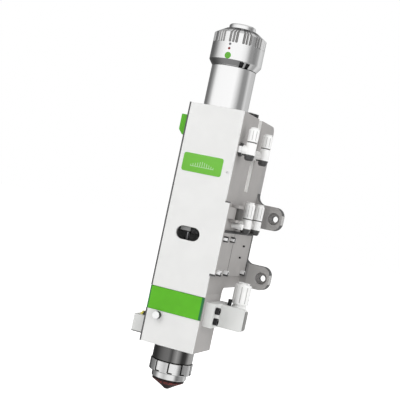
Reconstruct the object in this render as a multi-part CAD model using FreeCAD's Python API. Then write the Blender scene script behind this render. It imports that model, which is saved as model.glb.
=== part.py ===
import FreeCAD, Part
import math
import os

os.makedirs("parts", exist_ok=True)
Vector = FreeCAD.Vector

# Laser cutting head, drawn in millimetres about the beam axis (x = 0, y = 0) with the
# nozzle tip at z = 0 and the front towards -Y. At the end every piece is moved so that
# the origin is the centre of the four mounting holes, on the rear mounting face.

# Fits and gaps
running_fit = 0.05           # radial play of pieces that turn or slide in each other
seat_fit = 0.1               # radial play of pieces that are screwed or cemented in
air_gap = 0.35               # between faces that pass each other without touching

# Body widths and depths
body_width = 58.0
front_depth = 27.0           # front face to the beam axis
column_depth = 24.0          # beam axis to the back of the lower column
housing_depth = 76.0         # beam axis to the back of the main housing
plate_thickness = 12.0
cover_thickness = 3.0
module_projection = 5.0      # side module past the body's side face
edge_radius = 1.0

# Heights above the nozzle tip
block_bottom = 45.0          # underside of the window block
drawer_bottom = 78.3         # lower edge of the green drawer front
drawer_height = 22.6
block_height = 59.0          # window block, up to the adapter
adapter_neck = 6.0           # short lower part of the adapter
adapter_height = 21.0
adapter_web_radius = 5.0
body_height = 242.0          # underside of the window block to the top of the housing

# Receiver and locking collar
barrel_radius = 22.7
barrel_height = 42.0
barrel_bore = 16.0
collar_radius = 26.7
collar_height = 39.0
collar_foot = 5.6            # height of the lower chamfer
collar_shoulder = 6.5        # height of the upper cone
collar_rim_radius = 16.3     # top of the cone
receiver_radius = 20.0
receiver_lip_radius = 13.6
receiver_bore = 11.0
receiver_lip = 5.0           # lip above the collar
receiver_shoulder = 2.0      # under the foot of the collar's cone
receiver_chamfer = 0.8
key_depth = 14.0
key_angles = (60, 180, 300)
flute_count = 3              # flutes in one group
flute_groups = 12
flute_share = 0.72           # of a group's pitch that is fluted
flute_radius = 0.9
flute_height = 10.0
dot_radii = (1.3, 1.3, 3.3)
dot_drops = (18.85, 23.3, 30.3)      # below the top of the collar
dot_depth = 0.4
pocket_width = 4.4
pocket_depth = 2.2
pocket_rise = 2.4            # foot of the collar to the middle of a pocket
pocket_angles = (-56, -41)

# Nozzle end
nozzle_tip_radius = 2.0
nozzle_cone = 8.8            # height of the cone
nozzle_radius = 16.3
nozzle_rim = 2.0
nozzle_thread_radius = 7.0
nozzle_thread_height = 8.0
orifice_radius = 1.0
nut_radius = 21.6
nut_height = 18.3
nut_ring_radius = 17.6       # below the pads
nut_ring_height = 6.5
nut_lip = 8.5                # floor of the nut, under the ceramic ring
nut_chamfer = 0.8
nut_rise = 0.5               # nut above the nozzle
nut_pad_count = 10
nut_gap_width = 1.3          # between two pads
nut_gap_depth = 1.3
nut_gap_angle = -75.8
sensor_radius = 20.6
sensor_collar_gap = 0.4      # sensor body above the nut
sensor_thread_radius = 18.5
sensor_bore = 12.0
ceramic_neck_radius = 13.4
ceramic_flange_radius = 17.4
ceramic_flange = 4.0

# Mounting plate
ear_reach = 60.5             # beam plane to the end of an ear
ear_height = 25.4
ear_radius = 9.5
ear_web_radius = 9.0
hole_reach = 52.0            # beam plane to a mounting hole
hole_pitch = 65.0            # between the upper and the lower holes
lower_hole_rise = 14.6       # plate's lower edge to the lower holes
plate_edge_radius = 8.0      # top edge at the back
mount_hole_radius = 3.4
counterbore_radius = 6.4
counterbore_depth = 6.0

# Side groove of the housing
groove_start = 26.7
groove_width = 12.9
groove_depth = 5.0
groove_rise = 86.0           # underside of the housing to the groove

# Chambers in the housing
wall = 5.0
front_chamber_back = 22.0
front_chamber_height = 102.0
rear_chamber_half_width = 18.0
arm_slot_half_width = 8.0
arm_slot_height = 56.0
beam_bore = 16.0

# Lens, carriage and drive
carriage_height = 24.0
carriage_rise = 47.0         # underside of the housing to the middle of the carriage
carriage_travel = 10.0       # each way
carriage_half_width = 21.0
carriage_half_depth = 18.0
focus_lens_radius = 15.0
focus_lens_thickness = 6.0
focus_lens_crown = 2.0
guide_radius = 3.0
guide_reach = 16.5
guide_offset = 12.5
screw_radius = 4.0
screw_shaft_radius = 3.0
screw_pivot_radius = 2.5
motor_width = 28.0
motor_height = 34.0
motor_wall = 4.0             # motor to the back of the housing
motor_rise = 113.0           # underside of the housing to the motor
motor_shelf = 4.0
board_height = 30.0
board_drop = 3.0             # under the motor's shelf
board_thickness = 2.0
board_margin = 4.0
collimator_radius = 12.7
collimator_cell_height = 12.0
collimator_rise = 9.0        # top of the housing to the cell
collimator_seat = 3.0
collimator_thickness = 6.0
collimator_crown = 1.6
cell_lip = 1.5

# Upper window drawer
upper_drawer_rise = 132.5    # underside of the housing to the drawer
upper_drawer_height = 11.0
upper_drawer_half_depth = 18.0
upper_window_radius = 14.5
upper_window_thickness = 2.0
handle_reach = 9.0
handle_height = 20.5
handle_drop = 3.5            # handle below the drawer

# Lower window drawer
lower_drawer_half_width = 24.0
lower_window_radius = 18.5
lower_window_thickness = 7.0
seal_section = 1.2

# Focus window and the screw in the cover
window_centre_x = -2.0
window_rise = 33.7           # underside of the housing to the middle of the window
window_length = 25.0
window_height = 13.4
pane_thickness = 1.6
pane_recess = 0.4
label_screw_radius = 1.45
label_screw_x = 25.3
label_screw_rise = 99.8

# Side module and its knob
module_drop = 1.5            # side covers below the underside of the housing
module_height = 74.0
side_cover_height = 46.0     # raised lower part of the side
side_cover_edge = 2.0        # rounding of its upper edge
module_base = 1.0            # thickness of the module above its raised part
module_depth = 11.0          # beam axis to the back of the module
knob_block_rise = 57.8       # foot of the module to the block beside the knob
knob_block_back = -0.5
knob_radius = 4.6
knob_height = 11.6
knob_x = 35.0
knob_y = 5.0
knob_lug = 3.0
knob_lug_front = -6.0
knob_lug_back = 8.0
knob_pin_radius = 1.5
knob_flute_radius = 0.4
knob_flute_count = 20
side_hole_radius = 0.9
side_hole_depth = 2.0
side_hole_places = ((47.6, 31.8), (41.5, 19.7))

# Elbow fittings
elbow_reach = 11.0           # seat to the axis of the tube port
elbow_hex_height = 3.3
elbow_stub_radius = 4.8
elbow_stub_depth = 4.4
elbow_spigot_radius = 3.2
elbow_arm_radius = 5.2
elbow_port_radius = 5.3
elbow_port_drop = 6.0
elbow_seam_height = 8.4
elbow_port_rise = 22.0
elbow_stop = 4.0             # tube seat above the arm's axis
elbow_stop_ledge = 1.0       # width of the ledge that the tube seats on
water_tube_radius = 3.0
collet_height = 1.5
collet_wall = 1.1
upper_elbow_rise = 125.0     # underside of the housing to the upper fittings
middle_elbow_rise = 53.0
front_elbow_y = -16.0
module_elbow_y = 22.0
rear_elbow_inset = 19.0      # from the back of the housing

# Gas block, its panel and fitting
gas_block_reach = 9.5
gas_block_front = -18.0
gas_block_rise = 27.5        # underside of the window block to the gas block
gas_block_height = 24.0
gas_panel_front = 2.0
gas_panel_thickness = 9.0
gas_panel_reach = 26.0
gas_panel_margin = 0.5
gas_panel_corner = 4.0
gas_plug_reach = 6.5
gas_plug_radius = 2.0
gas_plug_stem_radius = 1.3
gas_plug_height = 6.5
gas_plug_stem = 5.8
gas_elbow_scale = 1.42       # size of the gas fitting against the water fittings
gas_elbow_reach = 12.9
gas_tube_radius = 5.0
gas_elbow_rise = 13.5        # underside of the gas block to the fitting

# Screws
small_screw_radius = 1.5
small_head_radius = 2.75
small_head_height = 1.8
small_screw_length = 3.6
side_screw_margin = 3.5      # foot of the side covers to the lower screws
side_screw_drop = 8.5        # upper screws below the covers' upper edge
module_screw_insets = (3.0, 25.5)    # from the front of the module
rear_screw_inset = 18.0      # from the back of the housing
large_screw_radius = 2.0
large_head_radius = 3.5
large_head_height = 4.0
large_screw_bite = 4.0       # length of a large screw in the piece it holds
gas_screw_inset = 6.0        # from the gas block's front face
gas_screw_margin = 6.7       # from its upper and lower faces
plate_screw_length = 12.0
plate_screw_inset = 6.0
plate_screw_margin = 9.0
socket_depth = 0.5           # of the head's height
lock_knob_radius = 3.9
lock_knob_x = -14.9
lock_knob_length = 6.0

# Connector box
connector_reach = 16.0
connector_front = -15.0
connector_depth = 22.0
connector_bottom = 50.0
connector_height = 17.5
socket_radius = 4.2
socket_flange = 1.3
socket_seat = 8.0
socket_wall = 1.2

# Worked-out places
half_width = body_width / 2
front_y = -front_depth
cover_back_y = front_y + cover_thickness
body_top = block_bottom + body_height
adapter_bottom = block_bottom + block_height
plate_bottom = adapter_bottom + adapter_neck
housing_bottom = adapter_bottom + adapter_height
groove_bottom = housing_bottom + groove_rise
screw_axis = housing_depth - motor_wall - motor_width / 2
rear_chamber_front = screw_axis - motor_width / 2 - 1.0
motor_bottom = housing_bottom + motor_rise
carriage_centre = housing_bottom + carriage_rise
upper_drawer_bottom = housing_bottom + upper_drawer_rise
window_centre_z = housing_bottom + window_rise
label_screw_z = housing_bottom + label_screw_rise
upper_elbow_z = housing_bottom + upper_elbow_rise
middle_elbow_z = housing_bottom + middle_elbow_rise
rear_elbow_y = housing_depth - rear_elbow_inset
collimator_bottom = body_top + collimator_rise
plate_front_y = housing_depth
plate_back_y = housing_depth + plate_thickness
drawer_top = drawer_bottom + drawer_height
chamber_bottom = housing_bottom + wall
chamber_top = chamber_bottom + front_chamber_height
chamber_half_width = half_width - wall - 1.0
module_x = half_width + module_projection
module_bottom = housing_bottom - module_drop
module_top = module_bottom + module_height
side_cover_top = module_bottom + side_cover_height
knob_block_bottom = module_bottom + knob_block_rise
knob_block_top = knob_block_bottom + knob_height
barrel_top = body_top + barrel_height
collar_bottom = barrel_top + 0.5
collar_top = collar_bottom + collar_height
receiver_top = collar_top + receiver_lip
nozzle_top = nozzle_cone + nozzle_rim
nut_bottom = nozzle_top + nut_rise
nut_top = nut_bottom + nut_height
pad_bottom = nut_bottom + nut_ring_height
lower_hole_height = plate_bottom + lower_hole_rise
groove_back = groove_start + groove_width
groove_centre = groove_start + groove_width / 2
groove_floor_x = half_width - groove_depth
gas_block_x = half_width + gas_block_reach
gas_block_bottom = block_bottom + gas_block_rise
gas_block_top = gas_block_bottom + gas_block_height
gas_elbow_z = gas_block_bottom + gas_elbow_rise
gas_panel_x = gas_block_x + gas_panel_reach
gas_panel_back = gas_panel_front + gas_panel_thickness
elbow_hex = groove_width - 0.9       # across flats, sits in the groove
gas_elbow_y = gas_panel_back + air_gap + elbow_hex * gas_elbow_scale / 2
gas_block_back = gas_elbow_y + elbow_hex * gas_elbow_scale / 2

pieces = {}


def box(x0, x1, y0, y1, z0, z1):
    return Part.makeBox(x1 - x0, y1 - y0, z1 - z0, Vector(x0, y0, z0))


def rod(radius, start, end):
    axis = end - start
    return Part.makeCylinder(radius, axis.Length, start, axis)


def upright(radius, x, y, z0, z1):
    return rod(radius, Vector(x, y, z0), Vector(x, y, z1))


def sideways(radius, x0, x1, y, z):
    return rod(radius, Vector(x0, y, z), Vector(x1, y, z))


def turned(profile, x=0.0, y=0.0):
    """A solid of revolution about the upright axis through x, y; profile is (radius, z)."""
    points = [Vector(x + r, y, z) for r, z in profile]
    face = Part.Face(Part.makePolygon(points + points[:1]))
    return face.revolve(Vector(x, y, 0), Vector(0, 0, 1), 360)


def hexagon(across_flats, height, start, axis):
    """A hexagonal prism from start along axis (X, Y or Z)."""
    radius = across_flats / math.sqrt(3)
    corners = []
    for step in range(6):
        angle = math.radians(60 * step + 30)
        u = radius * math.cos(angle)
        v = radius * math.sin(angle)
        if axis.x:
            corners.append(start + Vector(0, u, v))
        elif axis.y:
            corners.append(start + Vector(u, 0, v))
        else:
            corners.append(start + Vector(u, v, 0))
    face = Part.Face(Part.makePolygon(corners + corners[:1]))
    return face.extrude(axis * height)


def rounded(shape, radius, direction, keep=None):
    """Fillet the straight edges of shape that run along direction; keep filters by midpoint."""
    chosen = []
    for edge in shape.Edges:
        if not isinstance(edge.Curve, Part.Line):
            continue
        if edge.tangentAt(edge.FirstParameter).cross(direction).Length > 1e-6:
            continue
        middle = edge.valueAt((edge.FirstParameter + edge.LastParameter) / 2)
        if keep is None or keep(middle):
            chosen.append(edge)
    return shape.makeFillet(radius, chosen)


def cap_screw(seat, axis, shank_radius, shank_length, head_radius, head_height):
    """A socket cap screw with its head on seat, pointing out along axis."""
    head = rod(head_radius, seat, seat + axis * head_height)
    shank = rod(shank_radius, seat - axis * shank_length, seat)
    depth = head_height * socket_depth
    socket = hexagon(head_radius, depth, seat + axis * (head_height - depth), axis)
    return head.fuse(shank).cut(socket)


x_axis = Vector(1, 0, 0)
y_axis = Vector(0, 1, 0)
z_axis = Vector(0, 0, 1)


# Screw places: seat point, outward axis, shank radius and length, head radius and height
small_sizes = (small_screw_radius, small_screw_length, small_head_radius, small_head_height)
lower_screw_z = module_bottom + side_screw_margin
module_screws = [
    (Vector(module_x, cover_back_y + inset, z), x_axis, *small_sizes)
    for inset in module_screw_insets
    for z in (lower_screw_z, side_cover_top - side_screw_drop)
]
rear_screws = [
    (Vector(module_x, housing_depth - rear_screw_inset, lower_screw_z), x_axis, *small_sizes)
]
large_sizes = (large_screw_radius, gas_block_reach + large_screw_bite, large_head_radius,
               large_head_height)
gas_screws = [
    (Vector(gas_block_x, gas_block_front + gas_screw_inset, z), x_axis, *large_sizes)
    for z in (gas_block_bottom + gas_screw_margin, gas_block_top - gas_screw_margin)
]
plate_screws = [
    (Vector(x, plate_back_y - large_head_height - 0.4, z), y_axis,
     large_screw_radius, plate_screw_length, large_head_radius, large_head_height)
    for x in (plate_screw_inset - half_width, half_width - plate_screw_inset)
    for z in (housing_bottom + plate_screw_margin, body_top - plate_screw_margin)
]


def drilled(shape, screws, slack=seat_fit):
    """Cut the shank holes and head seats of the screws from shape."""
    for seat, axis, shank_radius, shank_length, head_radius, head_height in screws:
        shape = shape.cut(rod(shank_radius + slack, seat - axis * (shank_length + 0.5), seat))
    return shape


# Elbow fittings: name, seat point, size factor, reach to the port's axis, tube radius
water_fittings = [
    (name, Vector(x, y, z), 1.0, half_width + elbow_reach - x, water_tube_radius)
    for name, x, y, z in (
        ("water_front", half_width, front_elbow_y, upper_elbow_z),
        ("water_groove", groove_floor_x, groove_centre, upper_elbow_z),
        ("water_middle", half_width, module_elbow_y, middle_elbow_z),
        ("water_rear", half_width, rear_elbow_y, middle_elbow_z))
]
gas_fitting = ("gas", Vector(gas_block_x, gas_elbow_y, gas_elbow_z), gas_elbow_scale,
               gas_elbow_reach, gas_tube_radius)


def fitting_hole(seat, size):
    """The bore that takes a fitting's threaded stub."""
    depth = elbow_stub_depth + 0.3
    return sideways(elbow_stub_radius * size + seat_fit, seat.x - depth, seat.x + 0.01,
                    seat.y, seat.z)


# Main housing
housing = box(-half_width, half_width, cover_back_y, housing_depth, housing_bottom, body_top)
housing = rounded(housing, 3.0, x_axis, lambda p: p.z > body_top - 1 and p.y > 0)
housing = housing.cut(box(
    -chamber_half_width, chamber_half_width, cover_back_y, front_chamber_back,
    chamber_bottom, chamber_top))
housing = housing.cut(box(
    -rear_chamber_half_width, rear_chamber_half_width, rear_chamber_front, housing_depth,
    chamber_bottom, motor_bottom - motor_shelf))
housing = housing.cut(box(
    -rear_chamber_half_width, rear_chamber_half_width, rear_chamber_front, housing_depth,
    motor_bottom, body_top - wall))
housing = housing.cut(upright(
    screw_radius + 0.4, 0, screw_axis, motor_bottom - motor_shelf, motor_bottom))
housing = housing.cut(box(
    -arm_slot_half_width, arm_slot_half_width, front_chamber_back, rear_chamber_front,
    carriage_centre - arm_slot_height / 2, carriage_centre + arm_slot_height / 2))
housing = housing.cut(upright(beam_bore, 0, 0, housing_bottom, body_top))
housing = housing.cut(box(
    groove_floor_x, half_width, groove_start, groove_back, groove_bottom, body_top))
upper_pocket_right = chamber_half_width
housing = housing.cut(box(
    -half_width, upper_pocket_right,
    -upper_drawer_half_depth - air_gap, upper_drawer_half_depth + air_gap,
    upper_drawer_bottom, upper_drawer_bottom + upper_drawer_height + air_gap))
for name, seat, size, reach, tube_radius in water_fittings:
    housing = housing.cut(fitting_hole(seat, size))
housing = drilled(housing, plate_screws)
for side in (-1, 1):
    housing = housing.cut(upright(
        guide_radius + seat_fit, side * guide_reach, guide_offset,
        chamber_bottom - 3.0, chamber_top + 3.0))
pieces["main_housing"] = housing

# Adapter between the housing and the window block, deep at the top and short below
adapter = box(-half_width, half_width, cover_back_y, housing_depth, plate_bottom, housing_bottom)
adapter = adapter.fuse(box(
    -half_width, half_width, cover_back_y, column_depth, adapter_bottom, plate_bottom))
adapter = rounded(
    adapter.removeSplitter(), adapter_web_radius, x_axis,
    lambda p: abs(p.z - plate_bottom) < 0.1 and abs(p.y - column_depth) < 0.1)
adapter = adapter.cut(upright(beam_bore, 0, 0, adapter_bottom, housing_bottom))
adapter = adapter.cut(box(
    -rear_chamber_half_width, rear_chamber_half_width, rear_chamber_front, housing_depth,
    plate_bottom + wall, housing_bottom))
pieces["adapter_block"] = adapter

# Mounting plate with four counterbored ears
plate = box(-half_width, half_width, plate_front_y, plate_back_y, plate_bottom, body_top)
plate = rounded(plate, plate_edge_radius, x_axis,
                lambda p: p.y > plate_back_y - 1 and p.z > body_top - 1)
ear_heights = (lower_hole_height, lower_hole_height + hole_pitch)
for z in ear_heights:
    ears = box(-ear_reach, ear_reach, plate_front_y, plate_back_y,
               z - ear_height / 2, z + ear_height / 2)
    plate = plate.fuse(rounded(ears, ear_radius, y_axis))
plate = plate.removeSplitter()


def is_ear_web(point):
    """The inner corners where an ear leaves the plate's side."""
    at_side = abs(abs(point.x) - half_width) < 0.1
    heights = (ear_heights[0] + ear_height / 2, ear_heights[1] - ear_height / 2,
               ear_heights[1] + ear_height / 2)
    return at_side and any(abs(point.z - z) < 0.1 for z in heights)


plate = rounded(plate, ear_web_radius, y_axis, is_ear_web)
for z in ear_heights:
    for side in (-1, 1):
        place = Vector(side * hole_reach, plate_front_y, z)
        plate = plate.cut(rod(mount_hole_radius, place, place + y_axis * plate_thickness))
        plate = plate.cut(rod(counterbore_radius, place, place + y_axis * counterbore_depth))
plate = drilled(plate, plate_screws)
for seat, axis, shank_radius, shank_length, head_radius, head_height in plate_screws:
    plate = plate.cut(rod(head_radius + 0.3, seat, seat + axis * plate_thickness))
pieces["mounting_plate"] = plate

# Front cover, wider beside the side module
cover = box(-half_width, half_width, front_y, cover_back_y, drawer_top + 0.4, body_top)
cover = cover.fuse(box(
    half_width - 2.0, module_x, front_y, cover_back_y, module_bottom, module_top))
cover = cover.removeSplitter()
cover = rounded(cover, edge_radius, z_axis, lambda p: p.y < front_y + 1)
straight = window_length - window_height
slot = box(window_centre_x - straight / 2, window_centre_x + straight / 2,
           front_y, cover_back_y,
           window_centre_z - window_height / 2, window_centre_z + window_height / 2)
for side in (-1, 1):
    end = Vector(window_centre_x + side * straight / 2, front_y, window_centre_z)
    slot = slot.fuse(rod(window_height / 2, end, end + y_axis * cover_thickness))
slot = slot.removeSplitter()
cover = cover.cut(slot)
label_screw_seat = Vector(label_screw_x, front_y + 0.6, label_screw_z)
cover = cover.cut(rod(label_screw_radius + running_fit, label_screw_seat - y_axis,
                      label_screw_seat + y_axis * cover_thickness))
pieces["front_cover"] = cover
pieces["focus_window"] = slot.common(box(
    -half_width, half_width, front_y + pane_recess, front_y + pane_recess + pane_thickness,
    housing_bottom, body_top))
pin = rod(label_screw_radius, label_screw_seat, label_screw_seat + y_axis * 2.3)
pieces["cover_screw"] = pin.cut(box(
    label_screw_x - 1.1, label_screw_x + 1.1, label_screw_seat.y, label_screw_seat.y + 0.5,
    label_screw_z - 0.25, label_screw_z + 0.25))

# Barrel tube between the housing and the receiver
pieces["barrel_tube"] = turned([
    (barrel_bore, body_top), (barrel_radius, body_top), (barrel_radius, barrel_top),
    (barrel_bore, barrel_top)])

# Collimating lens in its cell, screwed into the barrel
cell_top = collimator_bottom + collimator_cell_height
lens_low = collimator_bottom + collimator_seat
pieces["collimator_cell"] = turned([
    (collimator_radius - cell_lip, collimator_bottom), (barrel_bore - seat_fit, collimator_bottom),
    (barrel_bore - seat_fit, cell_top), (collimator_radius + seat_fit, cell_top),
    (collimator_radius + seat_fit, lens_low), (collimator_radius - cell_lip, lens_low)])


def lens(radius, bottom, thickness, crown):
    """A biconvex lens: a disc with a spherical cap of height crown on both sides."""
    rim_low = bottom + crown
    rim_high = bottom + thickness - crown
    sphere_radius = (radius ** 2 + crown ** 2) / (2 * crown)
    low = Part.makeSphere(sphere_radius, Vector(0, 0, bottom + sphere_radius))
    high = Part.makeSphere(sphere_radius, Vector(0, 0, bottom + thickness - sphere_radius))
    disc = upright(radius, 0, 0, bottom, bottom + thickness)
    assert rim_high > rim_low
    return disc.common(low).common(high)


lens_sink = 0.45             # share of a crown that stands below the lens's seat
pieces["collimating_lens"] = lens(collimator_radius, lens_low - collimator_crown * lens_sink,
                                  collimator_thickness, collimator_crown)

# Receiver for the fibre connector, inside the locking collar
shoulder_z = collar_top - collar_shoulder - receiver_shoulder
receiver = turned([
    (receiver_bore, barrel_top), (receiver_radius, barrel_top), (receiver_radius, shoulder_z),
    (receiver_lip_radius, shoulder_z), (receiver_lip_radius, receiver_top - receiver_chamfer),
    (receiver_lip_radius - receiver_chamfer, receiver_top),
    (receiver_bore + receiver_chamfer, receiver_top),
    (receiver_bore, receiver_top - receiver_chamfer)])
for angle in key_angles:
    key = box(receiver_bore - 0.5, receiver_bore + 1.2, -1.6, 1.6, receiver_top - key_depth,
              receiver_top)
    key.rotate(Vector(0, 0, 0), z_axis, angle)
    receiver = receiver.cut(key)
pieces["fibre_receiver"] = receiver

# Locking collar: chamfered ring with groups of flutes and two square pockets
collar = turned([
    (receiver_radius + running_fit, collar_bottom), (barrel_radius, collar_bottom),
    (collar_radius, collar_bottom + collar_foot), (collar_radius, collar_top - collar_shoulder),
    (collar_rim_radius, collar_top), (receiver_lip_radius + running_fit, collar_top),
    (receiver_lip_radius + running_fit, shoulder_z + air_gap),
    (receiver_radius + running_fit, shoulder_z + air_gap)])
flute_top = collar_top - collar_shoulder
group_pitch = 360 / flute_groups
flute_pitch = group_pitch * flute_share / flute_count
for group in range(flute_groups):
    for number in range(flute_count):
        angle = -90 + group_pitch * (group + 0.5) + flute_pitch * (number - (flute_count - 1) / 2)
        groove_x = (collar_radius + 0.2) * math.cos(math.radians(angle))
        groove_y = (collar_radius + 0.2) * math.sin(math.radians(angle))
        collar = collar.cut(upright(
            flute_radius, groove_x, groove_y, flute_top - flute_height, flute_top + flute_radius))
pocket_z = collar_bottom + pocket_rise
pocket_floor = barrel_radius - pocket_depth / 2
for angle in pocket_angles:
    pocket = box(pocket_floor, collar_radius + 1.0, -pocket_width / 2, pocket_width / 2,
                 pocket_z - pocket_width / 2, pocket_z + pocket_width / 2)
    pocket.rotate(Vector(0, 0, 0), z_axis, angle)
    collar = collar.cut(pocket)
dots = []
for radius, drop in zip(dot_radii, dot_drops):
    centre = Vector(0, -collar_radius - 1.0, collar_top - drop)
    dot = rod(radius, centre, centre + y_axis * (1.0 + dot_depth + radius ** 2 / collar_radius))
    dots.append(dot.common(collar))
    collar = collar.cut(dot)
pieces["locking_collar"] = collar
pieces["collar_dots"] = Part.makeCompound(dots)

# Upper window drawer: slides out to the left, green handle on its end
upper_top = upper_drawer_bottom + upper_drawer_height
drawer = box(-half_width, upper_pocket_right - 1.0, -upper_drawer_half_depth,
             upper_drawer_half_depth, upper_drawer_bottom, upper_top)
window_seat = upper_drawer_bottom + 3.0
drawer = drawer.cut(upright(upper_window_radius + seat_fit, 0, 0, window_seat, upper_top))
drawer = drawer.cut(upright(upper_window_radius - 1.5, 0, 0, upper_drawer_bottom, upper_top))
pieces["upper_drawer"] = drawer
pieces["upper_window"] = upright(
    upper_window_radius, 0, 0, window_seat, window_seat + upper_window_thickness)
seal_z = window_seat + upper_window_thickness
pieces["upper_seal"] = turned([
    (upper_window_radius - 1.5, seal_z), (upper_window_radius, seal_z),
    (upper_window_radius, seal_z + seal_section), (upper_window_radius - 1.5, seal_z + seal_section)])
handle_bottom = upper_drawer_bottom - handle_drop
handle = box(-half_width - handle_reach, -half_width, -upper_drawer_half_depth - 1.5,
             upper_drawer_half_depth + 1.5, handle_bottom, handle_bottom + handle_height)
handle = handle.cut(Part.Face(Part.makePolygon([
    Vector(-half_width - handle_reach, -half_width, handle_bottom),
    Vector(-half_width - handle_reach, -half_width, handle_bottom + 5.5),
    Vector(-half_width - handle_reach + 5.0, -half_width, handle_bottom),
    Vector(-half_width - handle_reach, -half_width, handle_bottom)])).extrude(y_axis * body_width))
handle = rounded(handle, 2.0, z_axis, lambda p: p.x < -half_width - 3)
pieces["upper_drawer_handle"] = handle

# Lens carriage on two guide rods, with a nut arm through the rear wall
carriage_low = carriage_centre - carriage_height / 2
carriage_high = carriage_centre + carriage_height / 2
carriage = box(-carriage_half_width, carriage_half_width, -carriage_half_depth,
               carriage_half_depth, carriage_low, carriage_high)
carriage = rounded(carriage, 4.0, z_axis, lambda p: p.y < 0)
nut_arm_half = arm_slot_half_width - 1.0
carriage = carriage.fuse(box(
    -nut_arm_half, nut_arm_half, carriage_half_depth - 1.0, screw_axis + screw_radius + 4.0,
    carriage_centre - 6.0, carriage_centre + 6.0))
focus_seat = carriage_centre - focus_lens_thickness / 2
carriage = carriage.cut(upright(focus_lens_radius + seat_fit, 0, 0, focus_seat, carriage_high))
carriage = carriage.cut(upright(focus_lens_radius - 1.5, 0, 0, carriage_low, carriage_high))
carriage = carriage.cut(upright(
    screw_radius + running_fit, 0, screw_axis, carriage_low, carriage_high))
for side in (-1, 1):
    carriage = carriage.cut(upright(
        guide_radius + running_fit, side * guide_reach, guide_offset, carriage_low, carriage_high))
pieces["lens_carriage"] = carriage.removeSplitter()
pieces["focus_lens"] = lens(
    focus_lens_radius, focus_seat - focus_lens_crown * lens_sink, focus_lens_thickness, focus_lens_crown)
for side, name in ((-1, "guide_rod_left"), (1, "guide_rod_right")):
    pieces[name] = upright(
        guide_radius, side * guide_reach, guide_offset, chamber_bottom - 3.0, chamber_top + 3.0)
scale_y = -carriage_half_depth
scale = box(window_centre_x - 11.0, window_centre_x - 1.0, scale_y - 1.5, scale_y,
            carriage_low + 1.0, carriage_high - 1.0)
for step in range(8):
    tick_z = carriage_low + 2.6 + 2.6 * step
    scale = scale.cut(box(window_centre_x - 11.0, window_centre_x - 1.0, scale_y - 1.5,
                          scale_y - 1.0, tick_z - 0.4, tick_z + 0.4))
pieces["focus_scale"] = scale

# Lead screw and its motor in the rear chamber
motor_y = screw_axis - motor_width / 2
motor = box(-motor_width / 2, motor_width / 2, motor_y, motor_y + motor_width,
            motor_bottom, motor_bottom + motor_height)
motor = rounded(motor, 3.0, z_axis)
shaft_top = motor_bottom + motor_height / 3
motor = motor.cut(upright(screw_shaft_radius + 4 * running_fit, 0, screw_axis, motor_bottom,
                          shaft_top + 0.5))
pieces["focus_motor"] = motor
screw_low = chamber_bottom + 1.0
lead_screw = upright(screw_radius, 0, screw_axis, screw_low, motor_bottom)
lead_screw = lead_screw.fuse(upright(screw_shaft_radius, 0, screw_axis, motor_bottom, shaft_top))
lead_screw = lead_screw.fuse(upright(
    screw_pivot_radius, 0, screw_axis, chamber_bottom - 3.0, screw_low))
pieces["lead_screw"] = lead_screw
pieces["main_housing"] = pieces["main_housing"].cut(
    upright(screw_pivot_radius + running_fit, 0, screw_axis, chamber_bottom - 3.2, chamber_bottom))
board_x = rear_chamber_half_width
board_top = motor_bottom - motor_shelf - board_drop
pieces["control_board"] = box(
    board_x - board_thickness, board_x, rear_chamber_front + board_margin,
    housing_depth - board_margin, board_top - board_height, board_top)

# Window block with the pocket of the lower drawer
block = box(-half_width, half_width, front_y, column_depth, block_bottom, adapter_bottom)
block = rounded(block, edge_radius, z_axis, lambda p: p.y < 0)
block = block.cut(box(-half_width, half_width, front_y, cover_back_y, drawer_bottom - 0.2,
                      adapter_bottom))
block = block.cut(box(
    -lower_drawer_half_width - air_gap, lower_drawer_half_width + air_gap,
    cover_back_y, column_depth - 3.0, drawer_bottom + 1.5, drawer_top - 1.2))
block = block.cut(upright(sensor_bore, 0, 0, block_bottom, drawer_bottom + 5.0))
block = block.cut(upright(beam_bore, 0, 0, drawer_top - 5.0, adapter_bottom))
lock_z = drawer_bottom - lock_knob_radius - 0.7
lock_hole = 2.0 + running_fit
block = block.cut(rod(lock_hole, Vector(lock_knob_x, front_y, lock_z),
                      Vector(lock_knob_x, front_y + 10.3, lock_z)))
block = drilled(block, gas_screws)
pieces["window_block"] = block

# Lower drawer: green front, cartridge behind it, protective window and seal
tray_bottom = drawer_bottom + 1.5
tray_top = drawer_top - 1.2 - air_gap
front = box(-half_width + 0.4, half_width - 0.4, front_y - 0.3, cover_back_y,
            drawer_bottom, drawer_top)
front = rounded(front, edge_radius, z_axis, lambda p: p.y < front_y)
tray = box(-lower_drawer_half_width, lower_drawer_half_width, cover_back_y, column_depth - 4.0,
           tray_bottom, tray_top)
window_low = tray_bottom + 4.0
tray = tray.cut(upright(lower_window_radius + seat_fit, 0, 0, window_low, tray_top))
tray = tray.cut(upright(lower_window_radius - 1.5, 0, 0, tray_bottom, tray_top))
pieces["drawer_front"] = front
pieces["drawer_tray"] = tray
pieces["protective_window"] = upright(
    lower_window_radius, 0, 0, window_low, window_low + lower_window_thickness)
seal_low = window_low + lower_window_thickness
pieces["window_seal"] = turned([
    (lower_window_radius - 1.5, seal_low), (lower_window_radius, seal_low),
    (lower_window_radius, seal_low + seal_section), (lower_window_radius - 1.5, seal_low + seal_section)])

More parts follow.
